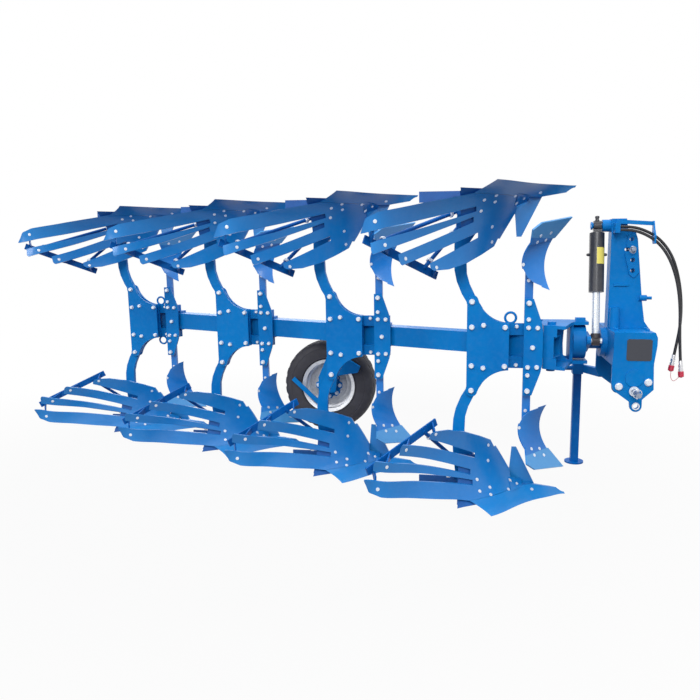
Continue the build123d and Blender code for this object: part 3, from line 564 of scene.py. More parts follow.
def as_mesh(form: bmesh.types.BMesh, name: str, smooth_below: float = 35.0) -> bpy.types.Mesh:
    """Turn a form into a plain mesh.

    Args:
        form: The mesh under construction, which is freed.
        name: The mesh's name.
        smooth_below: Degrees between two faces below which their edge looks smooth.

    Returns:
        The mesh.
    """
    mesh = bpy.data.meshes.new(name)
    for face in form.faces:
        face.smooth = True
    for edge in form.edges:
        edge.smooth = len(edge.link_faces) < 2 or edge.calc_face_angle() < math.radians(smooth_below)
    form.to_mesh(mesh)
    form.free()
    return mesh


def smooth_wire(name: str, points: Sequence[Vector], radius: float, ring: bool = False) -> bpy.types.Curve:
    """Round wire or hose that follows points smoothly.

    Args:
        name: The curve's name.
        points: Its control points in the row frame.
        radius: Half its thickness in metres.
        ring: Whether its ends meet.

    Returns:
        The curve.
    """
    curve = bpy.data.curves.new(name, "CURVE")
    curve.dimensions = "3D"
    spline = curve.splines.new("NURBS")
    spline.points.add(len(points) - 1)
    for point, place in zip(spline.points, points):
        point.co = (*place, 1.0)
    spline.order_u = 3
    spline.use_endpoint_u = not ring
    spline.use_cyclic_u = ring
    spline.resolution_u = 10
    curve.bevel_depth = radius
    curve.bevel_resolution = 5
    curve.use_fill_caps = not ring
    return curve


def circle_points(middle: Vector, axis: Vector, radius: float, count: int = 10) -> list[Vector]:
    """Even points round a circle.

    Args:
        middle: Its middle.
        axis: The direction it lies across.
        radius: Its radius in metres.
        count: How many points.

    Returns:
        The points.
    """
    turn = axis.normalized().to_track_quat("Z", "Y").to_matrix()
    angles = [2.0 * math.pi * n / count for n in range(count)]
    return [middle + turn @ Vector((radius * math.cos(a), radius * math.sin(a), 0.0)) for a in angles]


def formed(
    form: bmesh.types.BMesh, name: str, body: str, finish: str, stock: Stock, smooth_below: float = 35.0
) -> bpy.types.Object:
    """Turn a form into a piece that rides on a body."""
    return finished(as_mesh(form, name, smooth_below), name, body, finish, stock)


@dataclass(frozen=True)
class Seat:
    """A place on a surface and the way that surface faces."""

    point: Vector
    normal: Vector
    grade: float = 1.0


class Surfaces:
    """Faces of some pieces, on which fasteners are seated."""

    def __init__(self, nodes: Sequence[str], meshes: Sequence[bpy.types.Mesh] = ()) -> None:
        """Gather the faces.

        Args:
            nodes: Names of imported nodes.
            meshes: Meshes made here.
        """
        points: list[Vector] = []
        faces: list[list[int]] = []
        for mesh in [frame["nodes"][name].data for name in nodes] + list(meshes):
            first = len(points)
            points += [vertex.co.copy() for vertex in mesh.vertices]
            faces += [[first + i for i in face.vertices] for face in mesh.polygons]
        self.faces = BVHTree.FromPolygons(points, faces)

    def seat(self, start: Vector, way: Vector, grade: float = 1.0) -> Optional[Seat]:
        """Find the first place met along a direction.

        Args:
            start: Where the search starts, in the row frame.
            way: Its direction.
            grade: Size of the fastener beside its kind's own.

        Returns:
            The place, or None where nothing is met.
        """
        point, normal, _, _ = self.faces.ray_cast(start, way)
        if point is None:
            return None
        if normal.dot(way) > 0:
            normal = -normal
        return Seat(point, normal, grade)


class Head(Enum):
    """Kinds of fastener."""

    HEXAGON = "hexagon head on a washer"
    NUT = "nut with the thread's end"
    PLOUGH = "flush round plough bolt"


HEXAGON_SIDES = 6
FLUSH_SIDES = 20
WASHER_SIDES = 20
THREAD_SIDES = 12
CHAMFER_ACROSS = 0.84
CHAMFER_HIGH = 0.22
HEAD_TURN = math.pi / 3


class SolidTree(Tree):
    """Geometry Nodes tree of parts that stand on a seat."""

    def times(self, source: bpy.types.NodeSocket, factor: float) -> bpy.types.NodeSocket:
        """A socket's value times a number."""
        return self.node("ShaderNodeMath", {"operation": "MULTIPLY"}, {0: source, 1: factor}).outputs[0]

    def raised(self, part: bpy.types.NodeSocket, up: bpy.types.NodeSocket) -> bpy.types.NodeSocket:
        """Move a part up its own axis.

        Args:
            part: The part.
            up: How far.

        Returns:
            The part in its new place.
        """
        where = self.node("ShaderNodeCombineXYZ", {}, {"Z": up}).outputs[0]
        return self.node("GeometryNodeTransform", {}, {"Geometry": part, "Translation": where}).outputs[0]

    def cylinder(
        self, sides: int, radius: bpy.types.NodeSocket, high: bpy.types.NodeSocket
    ) -> bpy.types.NodeSocket:
        """Prism or cylinder that stands on the seat.

        Args:
            sides: Its number of sides.
            radius: Its radius to a corner.
            high: Its height.

        Returns:
            The solid.
        """
        inputs = {"Vertices": sides, "Radius": radius, "Depth": high}
        solid = self.node("GeometryNodeMeshCylinder", {"fill_type": "NGON"}, inputs)
        return self.raised(solid.outputs["Mesh"], self.times(high, 0.5))

    def chamfer(
        self, sides: int, radius: bpy.types.NodeSocket, high: bpy.types.NodeSocket
    ) -> bpy.types.NodeSocket:
        """Bevelled top that stands on a head.

        Args:
            sides: The head's number of sides.
            radius: The head's radius to a corner.
            high: The head's height.

        Returns:
            The solid.
        """
        inputs = {
            "Vertices": sides,
            "Radius Bottom": radius,
            "Radius Top": self.times(radius, CHAMFER_ACROSS),
            "Depth": self.times(high, CHAMFER_HIGH),
        }
        solid = self.node("GeometryNodeMeshCone", {"fill_type": "NGON"}, inputs)
        return self.raised(solid.outputs["Mesh"], high)


@dataclass(frozen=True)
class Fastener:
    """Sizes of one kind of fastener, in metres."""

    head: Head
    across: float
    high: float
    washer: float
    washer_high: float
    thread: float
    thread_long: float

    def tree(self) -> bpy.types.NodeTree:
        """Make the Geometry Nodes tree that sets one fastener on every point of a mesh.

        Returns:
            The tree, with the sizes, the seed and the finish as its inputs.
        """
        tree = bpy.data.node_groups.new(self.head.name.lower() + "_row", "GeometryNodeTree")
        sizes = dict.fromkeys(self.values(), "Float")
        for label, kind in {"Places": "Geometry", **sizes, "Seed": "Int", "Finish": "Material"}.items():
            tree.interface.new_socket(label, in_out="INPUT", socket_type="NodeSocket" + kind)
        tree.interface.new_socket("Fasteners", in_out="OUTPUT", socket_type="NodeSocketGeometry")
        build = SolidTree(tree)
        given = build.node("NodeGroupInput").outputs
        sides = FLUSH_SIDES if self.head is Head.PLOUGH else HEXAGON_SIDES
        parts = (
            build.cylinder(sides, given["Across"], given["High"]),
            build.chamfer(sides, given["Across"], given["High"]),
            build.cylinder(WASHER_SIDES, given["Washer"], given["Washer High"]),
            build.cylinder(THREAD_SIDES, given["Thread"], given["Thread Long"]),
        )
        one = build.node("GeometryNodeJoinGeometry")
        for part in parts:
            build.feed(one.inputs[0], part)
        lie = build.node("GeometryNodeInputNamedAttribute", {"data_type": "FLOAT_VECTOR"}, {"Name": "lie"})
        grade = build.node("GeometryNodeInputNamedAttribute", {"data_type": "FLOAT"}, {"Name": "grade"})
        inputs = {
            "Points": given["Places"],
            "Instance": one.outputs[0],
            "Rotation": lie.outputs[0],
            "Scale": grade.outputs[0],
        }
        laid = build.node("GeometryNodeInstanceOnPoints", {}, inputs)
        inputs = {1: (0.0, 0.0, HEAD_TURN), "Seed": given["Seed"]}
        chance = build.node("FunctionNodeRandomValue", {"data_type": "FLOAT_VECTOR"}, inputs)
        inputs = {"Instances": laid.outputs[0], "Rotation": chance.outputs[0]}
        spun = build.node("GeometryNodeRotateInstances", {}, inputs)
        real = build.node("GeometryNodeRealizeInstances", {}, {0: spun.outputs[0]})
        inputs = {"Geometry": real.outputs[0], "Material": given["Finish"]}
        painted = build.node("GeometryNodeSetMaterial", {}, inputs)
        build.node("NodeGroupOutput", {}, {0: painted.outputs[0]})
        return tree

    def values(self) -> dict[str, float]:
        """The sizes that the tree takes, radii and heights, by its inputs' names.

        Returns:
            The sizes in metres.
        """
        return {
            "Across": self.across / 2 if self.head is Head.PLOUGH else self.across / math.sqrt(3.0),
            "High": self.high,
            "Washer": self.washer / 2,
            "Washer High": self.washer_high,
            "Thread": self.thread / 2,
            "Thread Long": self.thread_long,
        }


def baked(holder: bpy.types.Object, name: str, body: str, finish: str, stock: Stock) -> bpy.types.Object:
    """Turn a holder's evaluated shape into a plain mesh piece and take the holder away.

    Args:
        holder: Object with the modifier or the curve.
        name: The piece's name.
        body: The body that it moves with.
        finish: Its finish.
        stock: The finishes.

    Returns:
        The piece.
    """
    bpy.context.scene.collection.objects.link(holder)
    graph = bpy.context.evaluated_depsgraph_get()
    mesh = bpy.data.meshes.new_from_object(holder.evaluated_get(graph))
    mesh.name = name
    holder.modifiers.clear()
    bpy.data.objects.remove(holder)
    return finished(mesh, name, body, finish, stock)


def planted(
    name: str, body: str, seats: Sequence[Seat], kind: Fastener, finish: str, seed: int, stock: Stock
) -> None:
    """Set fasteners on seats as one plain mesh piece.

    Args:
        name: The piece's name.
        body: The body that it moves with.
        seats: Where each fastener sits.
        kind: The fastener.
        finish: Its finish.
        seed: Seed of the heads' turns.
        stock: The finishes.
    """
    points = bpy.data.meshes.new(name + "_places")
    points.from_pydata([seat.point for seat in seats], [], [])
    points.attributes.new("lie", "FLOAT_VECTOR", "POINT")
    points.attributes.new("grade", "FLOAT", "POINT")
    for i, seat in enumerate(seats):
        points.attributes["lie"].data[i].vector = Vector(seat.normal.to_track_quat("Z", "Y").to_euler())
        points.attributes["grade"].data[i].value = seat.grade
    holder = bpy.data.objects.new(name + "_holder", points)
    tree = kind.tree()
    modifier = holder.modifiers.new("fasteners", "NODES")
    modifier.node_group = tree
    names = {item.name: item.identifier for item in tree.interface.items_tree if item.in_out == "INPUT"}
    for label, value in kind.values().items():
        modifier[names[label]] = value
    modifier[names["Seed"]] = seed
    modifier[names["Finish"]] = stock.get(finish)
    baked(holder, name, body, finish, stock)


def wired(
    name: str, body: str, points: Sequence[Vector], radius: float, finish: str, stock: Stock,
    ring: bool = True
) -> bpy.types.Object:
    """Piece of round wire that follows points.

    Args:
        name: The piece's name.
        body: The body that it moves with.
        points: The wire's control points in the row frame.
        radius: Half its thickness in metres.
        finish: Its finish.
        stock: The finishes.
        ring: Whether its ends meet.

    Returns:
        The piece.
    """
    holder = bpy.data.objects.new(name + "_holder", smooth_wire(name, points, radius, ring))
    return baked(holder, name, body, finish, stock)


def turned_piece(
    name: str, body: str, start: Vector, axis: Vector, profile: Sequence[tuple[float, float]], finish: str,
    stock: Stock, around: int = 32
) -> bpy.types.Object:
    """Piece turned about an axis.

    Args:
        name: The piece's name.
        body: The body that it moves with.
        start: Where the axis starts.
        axis: Its direction.
        profile: Points as (radius, distance along the axis) in metres.
        finish: Its finish.
        stock: The finishes.
        around: Faces round the form.

    Returns:
        The piece.
    """
    return formed(swept_round(start, axis, profile, around), name, body, finish, stock)


WHITE = (1.0, 1.0, 1.0)


@dataclass(frozen=True)
class Lamp:
    """Soft square lamp that looks at the middle of the plough."""

    name: str
    place: Place
    size: float
    power: float
    aim: Place = (0.0, 0.0, 0.9)

    def build(self) -> None:
        """Hang the lamp."""
        data = bpy.data.lights.new(self.name, "AREA")
        data.size = self.size
        data.energy = self.power
        lamp = bpy.data.objects.new(self.name, data)
        turn = (Vector(self.aim) - Vector(self.place)).to_track_quat("-Z", "Y").to_matrix()
        lamp.matrix_world = Matrix.Translation(self.place) @ turn.to_4x4()
        bpy.context.scene.collection.objects.link(lamp)


LAMPS = (
    Lamp("key", (0.8, -6.4, 4.8), 2.8, 250.0),
    Lamp("fill", (-4.8, -5.6, 3.4), 4.0, 110.0),
    Lamp("wash", (1.5, 0.5, 6.5), 4.0, 60.0),
    Lamp("back", (-2.0, 6.5, 3.0), 4.0, 110.0),
)


@dataclass
class Studio:
    """Camera, lights, floor and sky."""

    eye: Place = (54.0, -3584.7, 510.3)
    yaw: float = 7.88
    pitch: float = 9.07
    roll: float = -0.35
    focal: float = 644.0
    middle: tuple[float, float] = (393.1, 357.4)
    image: float = 700.0
    sensor: float = 36.0
    far: float = 100.0
    floor_half: float = 40.0
    floor_under: float = 0.001
    floor_white: float = 0.95
    sky_colour: Colour = (0.93, 0.96, 1.0)
    sky_heights: tuple[float, float] = (0.02, 0.55)
    sky_strengths: tuple[float, float] = (0.08, 1.55)

    def axes(self) -> Matrix:
        """Find the camera's right, up and back directions.

        Returns:
            The directions as a turn.
        """
        yaw, pitch, roll = (math.radians(v) for v in (self.yaw, self.pitch, self.roll))
        ahead = Vector(
            (-math.sin(yaw) * math.cos(pitch), math.cos(yaw) * math.cos(pitch), -math.sin(pitch))
        )
        level = Vector((math.cos(yaw), math.sin(yaw), 0.0))
        upright = level.cross(ahead)
        right = math.cos(roll) * level + math.sin(roll) * upright
        up = -math.sin(roll) * level + math.cos(roll) * upright
        return Matrix((right, up, -ahead)).transposed()

    def camera(self) -> None:
        """Place the camera where the photograph was taken from."""
        data = bpy.data.cameras.new("camera")
        data.sensor_width = self.sensor
        data.lens = self.focal * self.sensor / self.image
        data.shift_x = (self.image / 2 - self.middle[0]) / self.image
        data.shift_y = (self.middle[1] - self.image / 2) / self.image
        data.clip_end = self.far
        camera = bpy.data.objects.new("camera", data)
        camera.matrix_world = Matrix.Translation(row(*self.eye)) @ self.axes().to_4x4()
        bpy.context.scene.collection.objects.link(camera)
        bpy.context.scene.camera = camera

    def seen(self, graph: Graph) -> Wire:
        """Mask of what the camera, mirrors and glass see.

        Args:
            graph: The tree that uses it.

        Returns:
            1 for those rays and 0 for the light on the plough.
        """
        path = graph.node("ShaderNodeLightPath").outputs
        camera, mirror, glass = (
            Wire(graph, path[f"Is {kind} Ray"]) for kind in ("Camera", "Glossy", "Transmission")
        )
        return (camera + mirror + glass).clamped()

    def floor(self) -> None:
        """Wide pale floor, mostly plain white where it is seen, that keeps the plough's shadow."""
        mesh = bpy.data.meshes.new("floor")
        half, down = self.floor_half, -self.floor_under
        corners = [(-half, -half, down), (half, -half, down), (half, half, down), (-half, half, down)]
        mesh.from_pydata(corners, [], [(0, 1, 2, 3)])
        graph = Graph(bpy.data.materials.new("floor"))
        clouds = graph.noise(per_metre=3.0, detail=2.0)
        pale = graph.mix(clouds, (0.12, 0.12, 0.13), (0.16, 0.16, 0.16))
        lit = graph.node("ShaderNodeBsdfDiffuse", {}, {"Color": pale})
        length = graph.node("ShaderNodeVectorMath", {"operation": "LENGTH"}, {0: graph.place})
        away = Wire(graph, length.outputs["Value"]).above(edge=1.8, width=2.2)
        share = self.seen(graph) * (self.floor_white + away * (1.0 - self.floor_white))
        plain = graph.node("ShaderNodeEmission", {}, {"Color": WHITE, "Strength": 1.0})
        inputs = {0: share, 1: lit.outputs[0], 2: plain.outputs[0]}
        mixed = graph.node("ShaderNodeMixShader", {}, inputs)
        graph.node("ShaderNodeOutputMaterial", {}, {"Surface": mixed.outputs[0]})
        mesh.materials.append(graph.owner)
        floor = bpy.data.objects.new("floor", mesh)
        bpy.context.scene.collection.objects.link(floor)

    def sky(self) -> None:
        """White surroundings where they are seen, and an overcast sky that lights the plough."""
        world = bpy.data.worlds.new("studio")
        bpy.context.scene.world = world
        graph = Graph(world)
        rise = graph.node("ShaderNodeSeparateXYZ", {}, {0: graph.where["Generated"]}).outputs["Z"]
        inputs = {"Value": rise}
        inputs["From Min"], inputs["From Max"] = self.sky_heights
        inputs["To Min"], inputs["To Max"] = self.sky_strengths
        strength = graph.node("ShaderNodeMapRange", {}, inputs).outputs["Result"]
        soft = graph.node("ShaderNodeBackground", {}, {"Color": self.sky_colour, "Strength": strength})
        white = graph.node("ShaderNodeBackground", {}, {"Color": WHITE})
        inputs = {0: self.seen(graph), 1: soft.outputs[0], 2: white.outputs[0]}
        mixed = graph.node("ShaderNodeMixShader", {}, inputs)
        graph.node("ShaderNodeOutputWorld", {}, {"Surface": mixed.outputs[0]})

    def build(self) -> None:
        """Make the whole studio but the camera, which comes first."""
        bpy.context.scene.view_settings.view_transform = "Standard"
        for lamp in LAMPS:
            lamp.build()
        self.floor()
        self.sky()
        LOG.info("made the studio")


# Routes of the two hoses seen from the side, as (x, z) points
HOSE_ROUTES = (
    (
        (802, 656), (868, 656), (937, 636), (1002, 601), (1052, 553), (1096, 485),
        (1126, 400), (1148, 300), (1158, 195), (1156, 90), (1143, 0), (1131, -80),
    ),
    (
        (802, 638), (862, 638), (928, 618), (990, 582), (1040, 532), (1080, 466),
        (1112, 384), (1134, 290), (1146, 190), (1150, 88), (1157, -14), (1166, -110),
    ),
)


@dataclass
class Hoses:
    """Two hydraulic hoses that hang from the tower, with their couplers and caps."""

    stock: Stock
    radius: float = 0.008
    offsets: tuple[float, float] = (195.0, 173.0)
    lengths: tuple[float, float] = (0.935, 0.933)
    ridges: int = 4
    tether_radius: float = 0.0014

    def points(self, n: int) -> list[Vector]:
        """Route of a hose in the row frame."""
        return [row(x, self.offsets[n], z) for x, z in HOSE_ROUTES[n]]

    def hung(
        self, n: int, name: str, profile: Sequence[tuple[float, float]], finish: str, around: int
    ) -> bpy.types.Object:
        """Turned piece on the lower end of a hose.

        Args:
            n: The hose, 0 or 1.
            name: The piece's name without its number.
            profile: Points as (radius, distance past the hose's end).
            finish: Its finish.
            around: Faces round it.

        Returns:
            The piece.
        """
        points = self.points(n)
        end = points[-1]
        way = (end - points[-2]).normalized()
        return turned_piece(f"{name}_{n + 1}", "headstock", end, way, profile, finish, self.stock, around)

    def coupler(self, n: int) -> bpy.types.Object:
        """Crimped ferrule, hexagon, sleeve and tip on the end of a hose.

        Args:
            n: The hose, 0 or 1.

        Returns:
            The piece.
        """
        profile = [(0.0, -0.022), (0.0105, -0.022)]
        for k in range(self.ridges):
            profile += [(0.0112, -0.020 + 0.005 * k), (0.0098, -0.0175 + 0.005 * k)]
        profile += [
            (0.0112, 0.0), (0.0125, 0.001), (0.0125, 0.016), (0.0095, 0.018), (0.0095, 0.022),
            (0.013, 0.023), (0.013, 0.036), (0.0115, 0.038), (0.0115, 0.046), (0.0, 0.046),
        ]
        piece = self.hung(n, "coupler", profile, "coupler_steel", 32)
        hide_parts("hose_couplers")
        return piece

    def cap(self, n: int) -> bpy.types.Object:
        """Red dust cap with grip ridges and its pull ring.

        Args:
            n: The hose, 0 or 1.

        Returns:
            The piece.
        """
        profile = [(0.0, 0.040), (0.0145, 0.040), (0.016, 0.042)]
        for k in range(self.ridges):
            step = 0.006 * k
            profile += [(0.016, 0.045 + step), (0.0148, 0.0465 + step), (0.016, 0.049 + step)]
        profile += [(0.015, 0.070), (0.008, 0.073), (0.006, 0.075), (0.0, 0.075)]
        return self.hung(n, "dust_cap", profile, "cap_red", 28)

    def tether(self) -> bpy.types.Object:
        """Wire that joins the two caps.

        Returns:
            The piece.
        """
        y0, y1 = self.offsets
        places = (
            (1124, y0, -152), (1121, y0, -172), (1124, y0 - 6, -196), (1134, 184, -209),
            (1146, 178, -201), (1158, y1, -184), (1168, y1, -180),
        )
        points = [row(*place) for place in places]
        return wired("cap_tether", "headstock", points, self.tether_radius, "cap_red", self.stock, ring=False)

    def build(self) -> None:
        """Make the hoses and what hangs on them."""
        for n in range(len(HOSE_ROUTES)):
            curve = smooth_wire(f"hydraulic_hose_{n + 1}", self.points(n), self.radius)
            curve.materials.append(self.stock.get("hose_rubber"))
            hose = bpy.data.objects.new(f"hydraulic_hose_{n + 1}", curve)
            bpy.context.scene.collection.objects.link(hose)
            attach(hose, "headstock")
            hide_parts(f"hose_{n + 1}")
            pieces = [self.coupler(n), self.cap(n)]
            if n == 0:
                pieces.append(self.tether())
            2 * self.radius
            LOG.info("made hydraulic hose %d", n + 1)


# Bolts seen from the side, as (x, height from the beam's middle, size), on the way up and down alike
PLATE_BOLTS = (
    (0, 250, 1.15), (0, 109, 1.1), (65, 120, 1.0), (183, 109, 1.1), (249, 109, 0.8),
    (309, 244, 1.1), (309, 155, 0.9), (309, 110, 0.95), (358, 109, 0.95),
)
MIDDLE_BOLTS = ((333, 0, 1.0),)
# Flush bolts of a body, as (x, height above the beam, from below)
BODY_BOLTS = (
    (42, -732), (58, -785), (114, -779), (119, -808), (219, -812), (231, -783),
    (357, -836), (102, -655), (103, -575), (-180, -443), (-323, -490), (-412, -556), (-456, -667),
)
# Gusset between the mouldboard and the fin, as (x, height above the beam, from below)
FIN_GUSSET = ((222, -762), (298, -797), (300, -818), (236, -826))
GUSSET_BOLTS = ((229, -777), (271, -806))
SKIMMER_BOLTS = ((342, -571), (390, -583), (358, -604), (416, -620), (306, -366), (271, -453))
# Stay struts, as their two ends
STRUTS = (
    ((-80.0, -8.0, -655.0), (-251.8, -211.6, -435.4)),
    ((-80.0, -30.0, -740.0), (-475.5, -438.0, -562.6)),
)


@dataclass
class Stations:
    """Bolts and gussets on the four pairs of legs, bodies and skimmers."""

    stock: Stock
    plate_bolt: Fastener = Fastener(Head.HEXAGON, 0.022, 0.0125, 0.027, 0.0025, 0.008, 0.0135)
    plate_nut: Fastener = Fastener(Head.NUT, 0.022, 0.014, 0.028, 0.0025, 0.014, 0.024)
    flush: Fastener = Fastener(Head.PLOUGH, 0.019, 0.0014, 0.019, 0.0006, 0.008, 0.0018)
    strut_nut: Fastener = Fastener(Head.NUT, 0.034, 0.015, 0.030, 0.002, 0.0105, 0.016)
    nuts_from_ends: tuple[float, float] = (0.05, 0.055)
    outside_plates: float = 300.0
    outside_bodies: float = -700.0
    squarely: float = 0.9
    gusset_depths: tuple[float, float] = (-0.002, 0.003)

    def strut_seats(self, k: int) -> list[Seat]:
        """Places of the lock nuts along the stay struts of a station.

        Args:
            k: The station, counted from 0 at the front.

        Returns:
            The places.
        """
        seats = []
        from_root, from_end = self.nuts_from_ends
        for _, sign in SIDES:
            for root, end in STRUTS:
                a, b = (at_station(k, x, y, sign * z) for x, y, z in (root, end))
                way = (b - a).normalized()
                seats.append(Seat(a + way * from_root, way))
                seats.append(Seat(b - way * from_end, -way))
        return seats

    def gusset(self, k: int, side: str, sign: int) -> tuple[bpy.types.Mesh, list[Seat]]:
        """Bent plate that joins a mouldboard to its fin, and the seats of its bolts.

        Args:
            k: The station, counted from 0 at the front.
            side: The body's side of the beam, upper or lower.
            sign: 1 for the lower body, -1 for its mirror image.

        Returns:
            The mesh and the seats.
        """
        bodies = Surfaces([f"mouldboard_{side}_{k + 1}", f"shares_{side}"])
        form = bmesh.new()
        layers = []
        for depth in self.gusset_depths:
            starts = [at_station(k, x, self.outside_bodies, sign * z) for x, z in FIN_GUSSET]
            hits = [bodies.seat(start, LEFT) for start in starts]
            layers.append([form.verts.new(hit.point + LEFT * depth) for hit in hits])
        near, far = layers
        for layer in layers:
            form.faces.new((layer[0], layer[1], layer[3]))
            form.faces.new((layer[1], layer[2], layer[3]))
        for n in range(len(near)):
            m = (n + 1) % len(near)
            form.faces.new((near[n], near[m], far[m], far[n]))
        bmesh.ops.recalc_face_normals(form, faces=form.faces)
        mesh = as_mesh(form, f"fin_gusset_{side}_{k + 1}")
        plate = Surfaces([], [mesh])
        starts = [at_station(k, x, self.outside_bodies, sign * z) for x, z in GUSSET_BOLTS]
        return mesh, [plate.seat(start, LEFT) for start in starts]

    def nodes(self, k: int) -> list[str]:
        """Nodes of a station that its plate bolts sit on."""
        return [f"{name}_{k + 1}" for name in ("leg_plates", "console", "skimmer_bracket", "legs")]

    def plate_seats(self, k: int, near: bool) -> list[Seat]:
        """Find the seats of the plate bolts of a station.

        Args:
            k: The station, counted from 0 at the front.
            near: Whether on the near side or the far one.

        Returns:
            The seats that face that side squarely.
        """
        faces = Surfaces(self.nodes(k))
        start, way = (-self.outside_plates, LEFT) if near else (self.outside_plates, RIGHT)
        places = [(x, sign * z, grade) for x, z, grade in PLATE_BOLTS for _, sign in SIDES]
        seats = [
            faces.seat(at_station(k, x, start, z), way, grade) for x, z, grade in [*places, *MIDDLE_BOLTS]
        ]
        return [seat for seat in seats if seat and abs(seat.normal.y) > self.squarely]

    def body_seats(self, k: int) -> list[Seat]:
        """Find the seats of the flush bolts on the bodies and skimmers of a station.

        Args:
            k: The station, counted from 0 at the front.

        Returns:
            The seats.
        """
        seats = []
        for side, sign in SIDES:
            boards = Surfaces([f"mouldboard_{side}_{k + 1}", f"shares_{side}"])
            skimmer = Surfaces([f"skimmer_{side}_{k + 1}"])
            for faces, places in ((boards, BODY_BOLTS), (skimmer, SKIMMER_BOLTS)):
                for x, z in places:
                    seats.append(faces.seat(at_station(k, x, self.outside_bodies, sign * z), LEFT))
        return [seat for seat in seats if seat]

    def build(self) -> None:
        """Make every station's bolts and the gussets of its fins."""
        near, far, flush, struts = [], [], [], []
        for k in range(STATIONS):
            struts += self.strut_seats(k)
            near += self.plate_seats(k, True)
            far += self.plate_seats(k, False)
            flush += self.body_seats(k)
            for side, sign in SIDES:
                mesh, seats = self.gusset(k, side, sign)
                finished(mesh, mesh.name, "frame", "body_paint", self.stock)
                flush += [seat for seat in seats if seat]
        planted("plate_bolts", "frame", near, self.plate_bolt, "bolt_zinc", 3, self.stock)
        planted("plate_nuts", "frame", far, self.plate_nut, "bolt_zinc", 5, self.stock)
        planted("body_bolts", "frame", flush, self.flush, "bolt_zinc", 7, self.stock)
        planted("strut_nuts", "frame", struts, self.strut_nut, "bolt_zinc", 9, self.stock)


